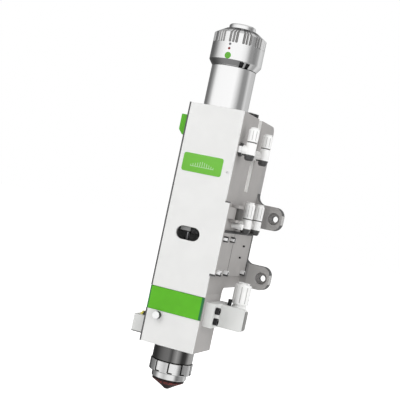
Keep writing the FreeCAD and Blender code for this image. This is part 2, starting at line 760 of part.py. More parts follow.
# Lock knob below the drawer front, with a knurled head
knob = rod(lock_knob_radius, Vector(lock_knob_x, front_y - lock_knob_length, lock_z),
           Vector(lock_knob_x, front_y - 0.1, lock_z))
knob = knob.fuse(rod(2.0, Vector(lock_knob_x, front_y - 0.1, lock_z),
                     Vector(lock_knob_x, front_y + 10.0, lock_z)))
for step in range(16):
    angle = math.radians(360 / 16 * step)
    rim = Vector(lock_knob_x + (lock_knob_radius + 0.15) * math.cos(angle), front_y,
                 lock_z + (lock_knob_radius + 0.15) * math.sin(angle))
    knob = knob.cut(rod(0.45, rim - y_axis * (lock_knob_length + 1), rim - y_axis * 0.8))
pieces["drawer_lock_knob"] = knob

# Sensor body under the block, lock nut, ceramic ring and nozzle
ceramic_top = nut_bottom + nut_lip + ceramic_flange
sensor = turned([
    (sensor_bore, ceramic_top), (sensor_thread_radius, ceramic_top),
    (sensor_thread_radius, nut_top + sensor_collar_gap),
    (sensor_radius, nut_top + sensor_collar_gap),
    (sensor_radius, block_bottom), (sensor_bore, block_bottom)])
pieces["sensor_body"] = sensor
nut_bore = ceramic_neck_radius + 0.4
nut = turned([
    (nut_bore, nut_bottom), (nut_ring_radius - nut_chamfer, nut_bottom),
    (nut_ring_radius, nut_bottom + nut_chamfer), (nut_ring_radius, pad_bottom),
    (nut_radius - nut_chamfer, pad_bottom), (nut_radius, pad_bottom + nut_chamfer),
    (nut_radius, nut_top - nut_chamfer), (nut_radius - nut_chamfer, nut_top),
    (sensor_thread_radius + running_fit, nut_top),
    (sensor_thread_radius + running_fit, nut_bottom + nut_lip),
    (nut_bore, nut_bottom + nut_lip)])
pad_pitch = 360 / nut_pad_count
for step in range(nut_pad_count):
    gap = box(nut_radius - nut_gap_depth, nut_radius + 1.0, -nut_gap_width / 2, nut_gap_width / 2,
              pad_bottom, nut_top)
    gap.rotate(Vector(0, 0, 0), z_axis, nut_gap_angle + pad_pitch * step)
    nut = nut.cut(gap)
pieces["lock_nut"] = nut
pieces["ceramic_ring"] = turned([
    (nozzle_thread_radius + running_fit, nozzle_top + 0.1), (ceramic_neck_radius, nozzle_top + 0.1),
    (ceramic_neck_radius, nut_bottom + nut_lip), (ceramic_flange_radius, nut_bottom + nut_lip),
    (ceramic_flange_radius, ceramic_top), (nozzle_thread_radius + running_fit, ceramic_top)])
nozzle = turned([
    (orifice_radius, 0), (nozzle_tip_radius, 0), (nozzle_radius, nozzle_cone),
    (nozzle_radius, nozzle_top), (nozzle_thread_radius, nozzle_top),
    (nozzle_thread_radius, nozzle_top + nozzle_thread_height),
    (nozzle_thread_radius - 2.0, nozzle_top + nozzle_thread_height),
    (orifice_radius, 3.0)])
pieces["nozzle"] = nozzle

# Side module: a base with a raised lower part, and a block with the knob between two lugs
module = box(half_width, module_x, cover_back_y, module_depth, module_bottom, side_cover_top)


def is_upper_outer_edge(point):
    """The long upper edge of a side cover."""
    return point.x > module_x - 0.1 and point.z > side_cover_top - 0.1


module = rounded(module, side_cover_edge, y_axis, is_upper_outer_edge)
module = module.fuse(box(half_width, half_width + module_base, cover_back_y, module_depth,
                         module_bottom, module_top))
module = module.fuse(box(half_width, module_x, cover_back_y, knob_block_back,
                         knob_block_bottom, knob_block_top))
lug_reach = knob_x + knob_radius / 2
for z in (knob_block_bottom - knob_lug, knob_block_top):
    module = module.fuse(box(
        half_width, lug_reach, knob_lug_front, knob_lug_back, z, z + knob_lug))
module = module.removeSplitter()
module = module.cut(upright(
    knob_pin_radius + running_fit, knob_x, knob_y, knob_block_bottom - knob_lug,
    knob_block_top + knob_lug))
pieces["side_module"] = drilled(module, module_screws)

# Rear side cover behind the module, below the rear fittings
rear_cover = box(half_width, module_x, module_depth + air_gap, housing_depth, module_bottom,
                 side_cover_top)
rear_cover = rounded(rear_cover, side_cover_edge, y_axis, is_upper_outer_edge)
for hole_y, hole_rise in side_hole_places:
    rear_cover = rear_cover.cut(sideways(
        side_hole_radius, module_x - side_hole_depth, module_x, hole_y,
        module_bottom + hole_rise))
pieces["rear_side_cover"] = drilled(rear_cover, rear_screws)

# Knob between the lugs, fluted and on a pin
turn_knob = upright(knob_radius, knob_x, knob_y, knob_block_bottom + 0.1, knob_block_top - 0.1)
for step in range(knob_flute_count):
    angle = math.radians(360 / knob_flute_count * step)
    turn_knob = turn_knob.cut(upright(
        knob_flute_radius, knob_x + knob_radius * math.cos(angle),
        knob_y + knob_radius * math.sin(angle), knob_block_bottom, knob_block_top))
pieces["adjusting_knob"] = turn_knob.fuse(upright(
    knob_pin_radius, knob_x, knob_y, knob_block_bottom - knob_lug + 0.5,
    knob_block_top + knob_lug - 0.5))

# Gas block on the side of the window block, with the panel and its plug
gas_block = box(half_width, gas_block_x, gas_block_front, gas_block_back,
                gas_block_bottom, gas_block_top)
gas_block = drilled(gas_block, gas_screws)
gas_block = gas_block.cut(fitting_hole(gas_fitting[1], gas_elbow_scale))
pieces["gas_block"] = gas_block
panel = box(gas_block_x, gas_panel_x, gas_panel_front, gas_panel_back,
            gas_block_bottom + gas_panel_margin, gas_block_top - gas_panel_margin)
panel = rounded(panel, gas_panel_corner, y_axis, lambda p: p.x > gas_panel_x - 1)
plug_x = gas_block_x + gas_plug_reach
plug_y = gas_panel_front + gas_panel_thickness / 2
plug_seat = gas_block_top - gas_panel_margin
panel = panel.cut(upright(gas_plug_stem_radius + seat_fit, plug_x, plug_y,
                          plug_seat - gas_plug_stem - 0.2, plug_seat))
pieces["gas_panel"] = panel
pieces["gas_plug"] = upright(
    gas_plug_stem_radius, plug_x, plug_y, plug_seat - gas_plug_stem, plug_seat).fuse(
    upright(gas_plug_radius, plug_x, plug_y, plug_seat, plug_seat + gas_plug_height))

# Fittings: a hexagonal base with a spigot, a swivelling elbow and a release collet
for name, seat, size, reach, tube_radius in water_fittings + [gas_fitting]:
    hex_top = seat.x + elbow_hex_height
    axis_x = seat.x + reach
    base = hexagon(elbow_hex * size, elbow_hex_height, seat, x_axis)
    base = base.fuse(sideways(
        elbow_stub_radius * size, seat.x - elbow_stub_depth, seat.x, seat.y, seat.z))
    base = base.fuse(sideways(
        elbow_spigot_radius * size, hex_top, axis_x - 2.0 * size, seat.y, seat.z))
    pieces[name + "_base"] = base
    port_low = seat.z - elbow_port_drop * size
    port_top = seat.z + elbow_port_rise * size
    seam_low = seat.z + elbow_seam_height * size
    elbow = upright(elbow_port_radius * size, axis_x, seat.y, port_low, port_top)
    elbow = elbow.fuse(sideways(
        elbow_arm_radius * size, hex_top + 0.1, axis_x, seat.y, seat.z))
    seam = upright(elbow_port_radius * size + 1.0, axis_x, seat.y, seam_low, seam_low + 0.8)
    seam = seam.cut(upright((elbow_port_radius - 0.7) * size, axis_x, seat.y,
                            seam_low, seam_low + 0.8))
    elbow = elbow.cut(seam)
    elbow = elbow.cut(sideways(
        elbow_spigot_radius * size + running_fit, hex_top, axis_x - 1.9 * size, seat.y, seat.z))
    collet_radius = tube_radius + collet_wall
    elbow = elbow.cut(upright(tube_radius - elbow_stop_ledge, axis_x, seat.y, seat.z, port_top))
    elbow = elbow.cut(upright(tube_radius, axis_x, seat.y, seat.z + elbow_stop * size, port_top))
    collet_low = port_top - 4.0 * size
    elbow = elbow.cut(upright(collet_radius + running_fit, axis_x, seat.y,
                              collet_low - 1.5, port_top))
    pieces[name + "_elbow"] = elbow
    collet_top = port_top + collet_height
    collet = upright(collet_radius, axis_x, seat.y, collet_low, collet_top)
    collet = collet.fuse(upright(collet_radius + 0.6, axis_x, seat.y,
                                 collet_top - 0.3, collet_top))
    pieces[name + "_collet"] = collet.cut(upright(
        tube_radius + 0.1, axis_x, seat.y, collet_low, collet_top))

# Connector box on the left of the window block, with a round socket on top
connector_x = -half_width - connector_reach
connector = box(connector_x, -half_width, connector_front, connector_front + connector_depth,
                connector_bottom, connector_bottom + connector_height)
connector = rounded(connector, 1.5, z_axis, lambda p: p.x < -half_width - 1)
socket_x = connector_x + connector_reach / 2
socket_y = connector_front + connector_depth / 2
connector_top = connector_bottom + connector_height
connector = connector.cut(upright(
    socket_radius + seat_fit, socket_x, socket_y, connector_top - socket_seat, connector_top))
pieces["connector_box"] = connector
socket = upright(socket_radius, socket_x, socket_y, connector_top - socket_seat, connector_top)
socket_top = connector_top + socket_flange
socket = socket.fuse(upright(socket_radius + socket_flange, socket_x, socket_y,
                             connector_top, socket_top))
pieces["sensor_socket"] = socket.cut(upright(
    socket_radius - socket_wall, socket_x, socket_y, connector_top - socket_seat / 2, socket_top))

# Screws, one node for each group
for name, screws in (("side_screws", module_screws + rear_screws),
                     ("gas_block_screws", gas_screws), ("plate_screws", plate_screws)):
    pieces[name] = Part.makeCompound([cap_screw(*screw) for screw in screws])

# Move everything so that the origin is the centre of the mounting holes on the rear face
shift = Vector(0, -plate_back_y, -(lower_hole_height + hole_pitch / 2))
for name, shape in pieces.items():
    shape.translate(shift)
    shape.exportStep("parts/" + name + ".step")
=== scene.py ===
"""Dressed model of a fibre laser cutting head, for Blender 4.5.

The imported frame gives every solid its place. This file dresses those solids, lays finer
surfaces over the round ones (the locking collar with its flutes, the polished barrel, the
nozzle end, the push-in elbows, the lock knob and the side screws) and adds the printed label
and a few small caps and pins. Lengths in the classes are millimetres about the beam axis, with
the nozzle tip at height 0 and the front towards -Y.
"""
import logging
import math
from dataclasses import dataclass
from enum import Enum
from typing import Any, Callable, Sequence, Union

import bmesh
import bpy
import numpy as np
from mathutils import Matrix, Vector


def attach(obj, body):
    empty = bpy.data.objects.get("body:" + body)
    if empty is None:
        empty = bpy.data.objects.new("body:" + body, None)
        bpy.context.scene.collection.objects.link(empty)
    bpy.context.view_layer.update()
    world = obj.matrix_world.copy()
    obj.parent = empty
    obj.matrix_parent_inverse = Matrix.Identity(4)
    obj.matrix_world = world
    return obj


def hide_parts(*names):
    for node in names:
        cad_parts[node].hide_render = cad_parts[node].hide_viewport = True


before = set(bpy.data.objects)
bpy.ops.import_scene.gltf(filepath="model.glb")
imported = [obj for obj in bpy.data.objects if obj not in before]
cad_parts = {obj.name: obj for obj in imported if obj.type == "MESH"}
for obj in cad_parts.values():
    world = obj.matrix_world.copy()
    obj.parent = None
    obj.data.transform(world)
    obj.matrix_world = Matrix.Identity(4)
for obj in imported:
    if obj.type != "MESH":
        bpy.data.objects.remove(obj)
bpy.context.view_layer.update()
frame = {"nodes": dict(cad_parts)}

LOG = logging.getLogger("laser_head")
NOZZLE_TIP = np.array([0.0, -88.0, -157.1])  # place of the nozzle tip in the frame, mm
Array = np.ndarray
Colour = tuple[float, float, float]
Point = tuple[float, float, float]
Span = tuple[float, float]
Relief = Callable[[Array, Array], Array]
Bands = Callable[[Array, Array, Array], Array]
Value = Union[float, "Signal"]
LEAST, MOST = -math.inf, math.inf
ANY: Span = (LEAST, MOST)


# Shader maths


def maths(operation: str, swapped: bool = False) -> Callable[["Signal", Value], "Signal"]:
    """Make a method of Signal that adds one Math node.

    Args:
        operation: name of the Math operation.
        swapped: whether the other value is the upper operand.

    Returns:
        The method.
    """
    def method(self: "Signal", other: Value = 0.0) -> "Signal":
        """The node's result for this value and the other."""
        pair = (other, self) if swapped else (self, other)
        return self.graph.add("ShaderNodeMath", {"operation": operation}, dict(enumerate(pair)))
    return method


class Signal:
    """One output socket of a shader graph; arithmetic on it adds Math nodes."""

    def __init__(self, graph: "Graph", socket: bpy.types.NodeSocket) -> None:
        """Keep the graph and the socket that carries the value."""
        self.graph = graph
        self.socket = socket

    __add__ = __radd__ = maths("ADD")
    __sub__ = maths("SUBTRACT")
    __rsub__ = maths("SUBTRACT", swapped=True)
    __mul__ = __rmul__ = maths("MULTIPLY")
    __truediv__ = maths("DIVIDE")
    __abs__ = maths("ABSOLUTE")
    below = maths("LESS_THAN")
    above = maths("GREATER_THAN")
    greater = maths("MAXIMUM")
    arctan2 = maths("ARCTAN2")
    pingpong = maths("PINGPONG")

    def ramp(self, start: float, end: float) -> "Signal":
        """Smooth step from 0 to 1.

        Args:
            start: value that gives 0.
            end: value that gives 1.

        Returns:
            The step.
        """
        return self.graph.add(
            "ShaderNodeMapRange", {"interpolation_type": "SMOOTHSTEP"},
            {"Value": self, "From Min": start, "From Max": end})


class Graph:
    """A shader graph that is filled by calls instead of by hand."""

    def __init__(self, tree: bpy.types.NodeTree) -> None:
        """Empty the tree and keep it."""
        self.tree = tree
        tree.nodes.clear()

    def add(self, kind: str, settings: dict[str, Any] | None = None,
            values: dict[int | str, Any] | None = None, out: int | str = 0) -> Signal:
        """Add any node.

        Args:
            kind: Blender's type name of the node.
            settings: properties set first; "stops" fills a colour ramp.
            values: numbers, colours or Signals for the inputs, by name or place.
            out: which output is handed back.

        Returns:
            The chosen output.
        """
        node = self.tree.nodes.new(kind)
        for key, setting in (settings or {}).items():
            if key == "stops":
                self._stops(node.color_ramp, setting)
            else:
                setattr(node, key, setting)
        for key, value in (values or {}).items():
            socket = node.inputs[key]
            if isinstance(value, Signal):
                self.tree.links.new(value.socket, socket)
            else:
                socket.default_value = self._fitted(socket, value)
        return Signal(self, node.outputs[out]) if len(node.outputs) else Signal(self, None)

    @staticmethod
    def _fitted(socket: bpy.types.NodeSocket, value: Any) -> Any:
        """Give a colour of three numbers its alpha where the socket wants one.

        Args:
            socket: input that the value is for.
            value: number, vector or colour.

        Returns:
            What the socket takes.
        """
        if socket.type == "RGBA" and len(value) == 3:
            return (*value, 1.0)
        return value

    @staticmethod
    def _stops(ramp: bpy.types.ColorRamp, stops: Sequence[tuple[float, Any]]) -> None:
        """Fill a colour ramp.

        Args:
            ramp: ramp to fill.
            stops: pairs of a place and a colour or grey.
        """
        while len(ramp.elements) < len(stops):
            ramp.elements.new(0.5)
        for element, (place, colour) in zip(ramp.elements, stops):
            element.position = place
            grey = isinstance(colour, (int, float))
            element.color = (colour, colour, colour, 1.0) if grey else (*colour, 1.0)

    def mixed(self, share: Value, first: Any, second: Any) -> Signal:
        """Blend two colours.

        Args:
            share: 0 shows the first colour and 1 the second.
            first: colour or Signal.
            second: colour or Signal.

        Returns:
            The blended colour.
        """
        return self.add("ShaderNodeMix", {"data_type": "RGBA"},
                        {0: share, 6: first, 7: second}, out=2)

    def millimetres(self, centre: Sequence[float] = (0.0, 0.0, 0.0),
                    stretch: Sequence[float] = (1.0, 1.0, 1.0)) -> Signal:
        """Object coordinates in millimetres from the nozzle tip.

        Args:
            centre: point that becomes the origin, mm from the nozzle tip.
            stretch: extra scale along each axis, which draws a pattern out or in.

        Returns:
            The coordinate vector.
        """
        place = self.add("ShaderNodeTexCoord", out="Object")
        scale = [1000.0 * s for s in stretch]
        shift = [-(NOZZLE_TIP[i] + centre[i]) * stretch[i] for i in range(3)]
        return self.add("ShaderNodeMapping", {}, {
            "Vector": place, "Location": shift, "Scale": scale})

    def axes(self, vector: Signal) -> tuple[Signal, Signal, Signal]:
        """Take a vector apart.

        Args:
            vector: vector to take apart.

        Returns:
            Its x, y and z.
        """
        first = self.add("ShaderNodeSeparateXYZ", {}, {0: vector})
        outputs = first.socket.node.outputs
        return tuple(Signal(self, outputs[i]) for i in range(3))

    def noise(self, vector: Signal, scale: float, detail: float = 2.0,
              roughness: float = 0.5) -> Signal:
        """Soft random values about 0.5, with scale blobs to the millimetre."""
        return self.add("ShaderNodeTexNoise", {}, {
            "Vector": vector, "Scale": scale, "Detail": detail, "Roughness": roughness})


# Finishes


Look = tuple[Any, Any, Signal]  # colour, roughness and height


def grey(level: float) -> Colour:
    """A colour without hue."""
    return (level, level, level)


@dataclass(frozen=True)
class Region:
    """A box of the head that takes another colour.

    Attributes:
        colour: colour inside the box.
        x: from and to, mm about the beam axis.
        y: the same in depth.
        z: the same in height.
    """

    colour: Colour
    x: Span = ANY
    y: Span = ANY
    z: Span = ANY

    @classmethod
    def levels(cls, colour: Colour, spans: Sequence[Span], x: Span = ANY,
               y: Span = ANY) -> tuple["Region", ...]:
        """One region for each of several spans of height."""
        return tuple(cls(colour, x, y, span) for span in spans)

    def tinted(self, graph: Graph, place: Signal, colour: Any) -> Signal:
        """The given colour outside the box and the region's own inside it.

        Args:
            graph: graph to add to.
            place: coordinates, mm.
            colour: colour or Signal outside the box.

        Returns:
            The blended colour.
        """
        inside: Value = 1.0
        for part, (low, high) in zip(graph.axes(place), (self.x, self.y, self.z)):
            if low > LEAST:
                inside = part.above(low) * inside
            if high < MOST:
                inside = part.below(high) * inside
        return graph.mixed(inside, colour, self.colour)


@dataclass(frozen=True)
class Finish:
    """A surface finish: its colour, its gloss and how its edges are broken."""

    name: str
    colour: Colour
    rough: float = 0.4
    metal: float = 0.0
    coat: float = 0.0
    edge: float = 0.35
    relief: float = 0.05
    gloss: float = 0.5
    regions: tuple[Region, ...] = ()

    def material(self) -> bpy.types.Material:
        """Make the material once, and hand the same one back afterwards.

        Returns:
            The material of this finish.
        """
        known = bpy.data.materials.get(self.name)
        if known is not None and known.get("dressed"):
            return known
        made = bpy.data.materials.new(self.name)
        made["dressed"] = True
        made.use_nodes = True
        graph = Graph(made.node_tree)
        place = graph.millimetres()
        colour, rough, height = self.surface(graph, place)
        for region in self.regions:
            colour = region.tinted(graph, place, colour)
        normal = self._edges(graph, height)
        values = {
            "Base Color": colour, "Roughness": rough, "Metallic": self.metal,
            "Coat Weight": self.coat, "Coat Roughness": 0.08, "Normal": normal,
            "Specular IOR Level": self.gloss}
        values.update(self.extra(graph))
        shader = graph.add("ShaderNodeBsdfPrincipled", {}, values)
        graph.add("ShaderNodeOutputMaterial", {}, {"Surface": shader})
        made.diffuse_color = (*self.colour, 1.0)
        return made

    def _edges(self, graph: Graph, height: Signal) -> Signal:
        """The normal: broken edges first, then the fine relief of the finish on top.

        Args:
            graph: graph to add to.
            height: relief of the finish, 0 to 1.

        Returns:
            The normal for the shader.
        """
        values: dict[int | str, Any] = {
            "Strength": 0.6, "Distance": self.relief * 0.001, "Height": height}
        if self.edge > 0.0:
            values["Normal"] = graph.add(
                "ShaderNodeBevel", {"samples": 4}, {"Radius": self.edge * 0.001})
        return graph.add("ShaderNodeBump", {}, values)

    def surface(self, graph: Graph, place: Signal) -> Look:
        """Colour, roughness and height over the surface; each finish draws its own.

        Args:
            graph: graph to add to.
            place: coordinates, mm.

        Returns:
            Colour, roughness and height.
        """
        raise NotImplementedError

    def mottled(self, graph: Graph, pattern: Signal, dark: float, light: float,
                span: Span = (0.3, 0.7)) -> Signal:
        """The finish's colour between two shades of it.

        Args:
            graph: graph to add to.
            pattern: values about 0.5 that choose the shade.
            dark: amount of the colour where the pattern is low.
            light: amount of it where the pattern is high.
            span: values of the pattern that give the two shades.

        Returns:
            The blended colour.
        """
        return graph.mixed(pattern.ramp(*span), self._shade(dark), self._shade(light))

    def extra(self, graph: Graph) -> dict[int | str, Any]:
        """More inputs of the shader, by name."""
        return {}

    def _shade(self, amount: float) -> Colour:
        """The finish's colour made lighter or darker."""
        return tuple(min(1.0, part * amount) for part in self.colour)


@dataclass(frozen=True)
class Powder(Finish):
    """Sprayed satin paint: a fine orange peel and a faint change of tone."""

    rough: float = 0.42
    edge: float = 0.7
    relief: float = 0.03

    def surface(self, graph: Graph, place: Signal) -> Look:
        """Two sizes of soft bumps for the peel, and a wide cloud for the tone.

        Args:
            graph: graph to add to.
            place: coordinates, mm.

        Returns:
            Colour, roughness and height.
        """
        cloud = graph.noise(place, 0.035, 2.0)
        peel = graph.noise(place, 1.1, 2.0) * 0.75 + graph.noise(place, 6.0, 1.0) * 0.25
        dust = graph.noise(place, 9.0, 1.0).ramp(0.74, 0.80)
        tone = self.mottled(graph, cloud, 0.975, 1.015)
        colour = graph.mixed(dust * 0.25, tone, self._shade(0.86))
        return colour, self.rough + (cloud - 0.5) * 0.12 + (peel - 0.5) * 0.06, peel


@dataclass(frozen=True)
class Blasted(Finish):
    """Bead-blasted and anodised aluminium: a dense fine grain with faint clouds."""

    def surface(self, graph: Graph, place: Signal) -> Look:
        """Grain of a third of a millimetre over clouds of some centimetres.

        Args:
            graph: graph to add to.
            place: coordinates, mm.

        Returns:
            Colour, roughness and height.
        """
        cloud = graph.noise(place, 0.03, 4.0, 0.6)
        grain = graph.noise(place, 3.4, 3.0, 0.7)
        speck = (grain - 0.5) * 0.5 + 0.5
        tone = self.mottled(graph, cloud, 0.94, 1.05)
        colour = graph.mixed(speck.ramp(0.3, 0.7) * 0.35, tone, self._shade(0.88))
        return colour, self.rough + (grain - 0.5) * 0.16, grain


class Way(Enum):
    """Direction in which a tool or brush has passed."""

    ALONG_Y = (1.0, 0.02, 1.0)
    ROUND_Z = (0.0, 0.0, 1.0)
    ROUND_Y = (0.0, 1.0, 0.0)
    ROUND_X = (1.0, 0.0, 0.0)


@dataclass(frozen=True)
class Machined(Finish):
    """Bare metal with the fine lines that a cutter or a lathe leaves."""

    metal: float = 1.0
    edge: float = 0.0
    relief: float = 0.004
    way: Way = Way.ROUND_Z
    lines: float = 5.0
    streak: float = 0.08
    # painted_sheen: stops of a painted reflection, light and dark round the turn about the beam
    # axis.
    painted_sheen: tuple[tuple[float, float], ...] = ()

    def surface(self, graph: Graph, place: Signal) -> Look:
        """Noise drawn out along the tool's way, in two widths, over a wide cloud.

        A painted sheen, which is a painted reflection, multiplies the colour by a ramp over the
        turn about the beam axis, from the left over the front (0.25) to the right (0.5) and the
        rear.

        Args:
            graph: graph to add to.
            place: coordinates, mm.

        Returns:
            Colour, roughness and height.
        """
        drawn = graph.millimetres(stretch=self.way.value)
        cloud = graph.noise(place, 0.05, 3.0)
        thin = graph.noise(drawn, self.lines, 2.0, 0.6)
        wide = graph.noise(drawn, self.lines * 0.22, 2.0)
        lines = thin * 0.7 + wide * 0.3
        tone = self.mottled(graph, lines, 1.0 - self.streak, 1.0 + self.streak * 0.5)
        # Painted reflection: the ramp darkens and lightens the metal round the turn.
        if self.painted_sheen:
            x, y, _ = graph.axes(place)
            shade = graph.add("ShaderNodeValToRGB", {"stops": self.painted_sheen},
                              {"Fac": y.arctan2(x) / (2 * math.pi) + 0.5})
            tone = graph.add("ShaderNodeMix", {"data_type": "RGBA", "blend_type": "MULTIPLY"},
                             {0: 1.0, 6: tone, 7: shade}, out=2)
        rough = self.rough + (lines - 0.5) * 0.14 + (cloud - 0.5) * 0.06
        return tone, rough.greater(0.03), lines


@dataclass(frozen=True)
class Moulded(Finish):
    """Moulded plastic: a smooth skin with a slow swell and a fine spark texture."""

    coat: float = 0.3

    def surface(self, graph: Graph, place: Signal) -> Look:
        """Slow swell of the skin with a very fine texture over it.

        Args:
            graph: graph to add to.
            place: coordinates, mm.

        Returns:
            Colour, roughness and height.
        """
        swell = graph.noise(place, 0.12, 2.0)
        spark = graph.noise(place, 5.0, 2.0)
        tone = self.mottled(graph, swell, 0.97, 1.03)
        return tone, self.rough + (spark - 0.5) * 0.08 + (swell - 0.5) * 0.08, spark


@dataclass(frozen=True)
class Banded(Moulded):
    """The drawer front: moulded green with painted shade in a darker strip at each end, where the
    rounded ends turn from the light.
    """

    end_shade: Colour = (0.02, 0.16, 0.05)
    end_shade_start: float = 27.0

    def surface(self, graph: Graph, place: Signal) -> Look:
        """The moulded skin, with painted shade past the start of the end strips.

        Args:
            graph: graph to add to.
            place: coordinates, mm.

        Returns:
            Colour, roughness and height.
        """
        tone, rough, height = super().surface(graph, place)
        x, _, _ = graph.axes(place)
        ends = abs(x).ramp(self.end_shade_start - 0.15, self.end_shade_start + 0.15)
        return graph.mixed(ends, tone, self.end_shade), rough, height


@dataclass(frozen=True)
class HeatTinted(Finish):
    """The nozzle's copper, burnt dark brown, with dull red heat marks by the rim."""

    mark: Colour = (0.34, 0.04, 0.035)
    rim_low: float = 5.6
    rim_high: float = 9.6

    def surface(self, graph: Graph, place: Signal) -> Look:
        """Broken patches of dull red in a band below the rim, on burnt copper.

        Args:
            graph: graph to add to.
            place: coordinates, mm.

        Returns:
            Colour, roughness and height.
        """
        _, _, z = graph.axes(place)
        patches = graph.noise(place, 0.55, 3.0, 0.65)
        fine = graph.noise(place, 3.0, 2.0)
        upper = 1.0 - z.ramp(self.rim_high - 0.8, self.rim_high)
        band = z.ramp(self.rim_low, self.rim_low + 1.2) * upper
        mask = band * patches.ramp(0.46, 0.56)
        burnt = self.mottled(graph, fine, 0.75, 1.5)
        return graph.mixed(mask * 0.8, burnt, self.mark), self.rough + (fine - 0.5) * 0.25, fine


@dataclass(frozen=True)
class CoatedGlass(Finish):
    """Clear glass with the faint purple-green bloom of an optical coating."""

    edge: float = 0.0
    clear: float = 0.25
    bloom: Colour = (0.32, 0.22, 0.45)

    def surface(self, graph: Graph, place: Signal) -> Look:
        """A bloom that shifts slowly from green to violet across the face.

        Args:
            graph: graph to add to.
            place: coordinates, mm.

        Returns:
            Colour, roughness and height.
        """
        slow = graph.noise(place, 0.08, 1.0)
        tone = graph.mixed(slow.ramp(0.35, 0.65), self.colour, self.bloom)
        return tone, self.rough + (slow - 0.5) * 0.02, graph.noise(place, 0.5, 1.0)

    def extra(self, graph: Graph) -> dict[int | str, Any]:
        """Mostly see-through, the same all over."""
        return {"Alpha": self.clear}


@dataclass(frozen=True)
class Circuit(Finish):
    """A circuit board: green lacquer with tinned pads on a square pitch."""

    pitch: float = 2.54
    pad_radius_squared: float = 0.35
    tin: Colour = (0.55, 0.55, 0.5)

    def surface(self, graph: Graph, place: Signal) -> Look:
        """Round pads where both coordinates are near the middle of a pitch.

        Args:
            graph: graph to add to.
            place: coordinates, mm.

        Returns:
            Colour, roughness and height.
        """
        _, y, z = graph.axes(place)
        u, v = y.pingpong(self.pitch / 2), z.pingpong(self.pitch / 2)
        pads = (u * u + v * v).below(self.pad_radius_squared)
        traces = graph.noise(place, 0.6, 1.0).ramp(0.49, 0.51)
        lacquer = graph.mixed(traces * 0.4, self.colour, self._shade(1.7))
        return graph.mixed(pads, lacquer, self.tin), self.rough, pads


@dataclass(frozen=True)
class Printed(Finish):
    """The label's print: a plain green field with a row of ticks.

    Attributes:
        ink: colour of the marks.
        strength: share of the ink over the field.
        centre: middle of the label, across and up.
        pitch: from tick to tick.
        tick: half the width of a tick.
        line: half the width of the base line.
        tallest: height of the middle tick.
        fall: loss of height for each millimetre from the middle.
        reach: half the length of the row.
        base_drop: from the middle down to the base line.
    """

    ink: Colour = (0.86, 0.90, 0.84)
    strength: float = 0.42
    centre: tuple[float, float] = (-2.0, 228.0)
    pitch: float = 2.4
    tick: float = 0.34
    line: float = 0.30
    tallest: float = 5.6
    fall: float = 0.32
    reach: float = 12.2
    base_drop: float = 3.2
    coat: float = 0.1

    def surface(self, graph: Graph, place: Signal) -> Look:
        """Ticks of falling height over one base line, on the plain field.

        Args:
            graph: graph to add to.
            place: coordinates, mm; not used.

        Returns:
            Colour, roughness and height.
        """
        local = graph.millimetres((self.centre[0], 0.0, self.centre[1]))
        x, _, z = graph.axes(local)
        fine = graph.noise(local, 4.0, 2.0)
        step = x.pingpong(self.pitch / 2)
        height = self.tallest - abs(x) * self.fall
        over_base = z + self.base_drop
        ticks = step.below(self.tick) * abs(x).below(self.reach) * z.above(-self.base_drop)
        ticks = ticks * over_base.below(height)
        base = abs(over_base).below(self.line) * abs(x).below(self.reach + 0.4)
        marks = ticks.greater(base)
        tone = self.mottled(graph, fine, 0.97, 1.03)
        tone = graph.mixed(marks * self.strength, tone, self.ink)
        return tone, self.rough + (fine - 0.5) * 0.06, fine


@dataclass(frozen=True)
class DotPaint(Finish):
    """Paint of the three marks on the collar: grey, red and green by height."""

    top_mark: Colour = (0.16, 0.16, 0.17)
    middle_mark: Colour = (0.20, 0.015, 0.015)
    red_below: float = 347.4
    green_below: float = 342.2

    def surface(self, graph: Graph, place: Signal) -> Look:
        """Grey at the top, then red, then green.

        Args:
            graph: graph to add to.
            place: coordinates, mm.

        Returns:
            Colour, roughness and height.
        """
        _, _, z = graph.axes(place)
        fine = graph.noise(place, 5.0, 2.0)
        upper = graph.mixed(z.below(self.red_below), self.top_mark, self.middle_mark)
        tone = graph.mixed(z.below(self.green_below), upper, self.colour)
        return tone, self.rough + (fine - 0.5) * 0.1, fine


BODY_GREY: Colour = (0.40, 0.385, 0.375)
PLATE_GREY: Colour = (0.37, 0.36, 0.355)
HOLE_SIDES = (-52.0, 52.0)  # places of the mounting holes across the head, mm
HOLE_HEIGHTS = (124.6, 189.6)


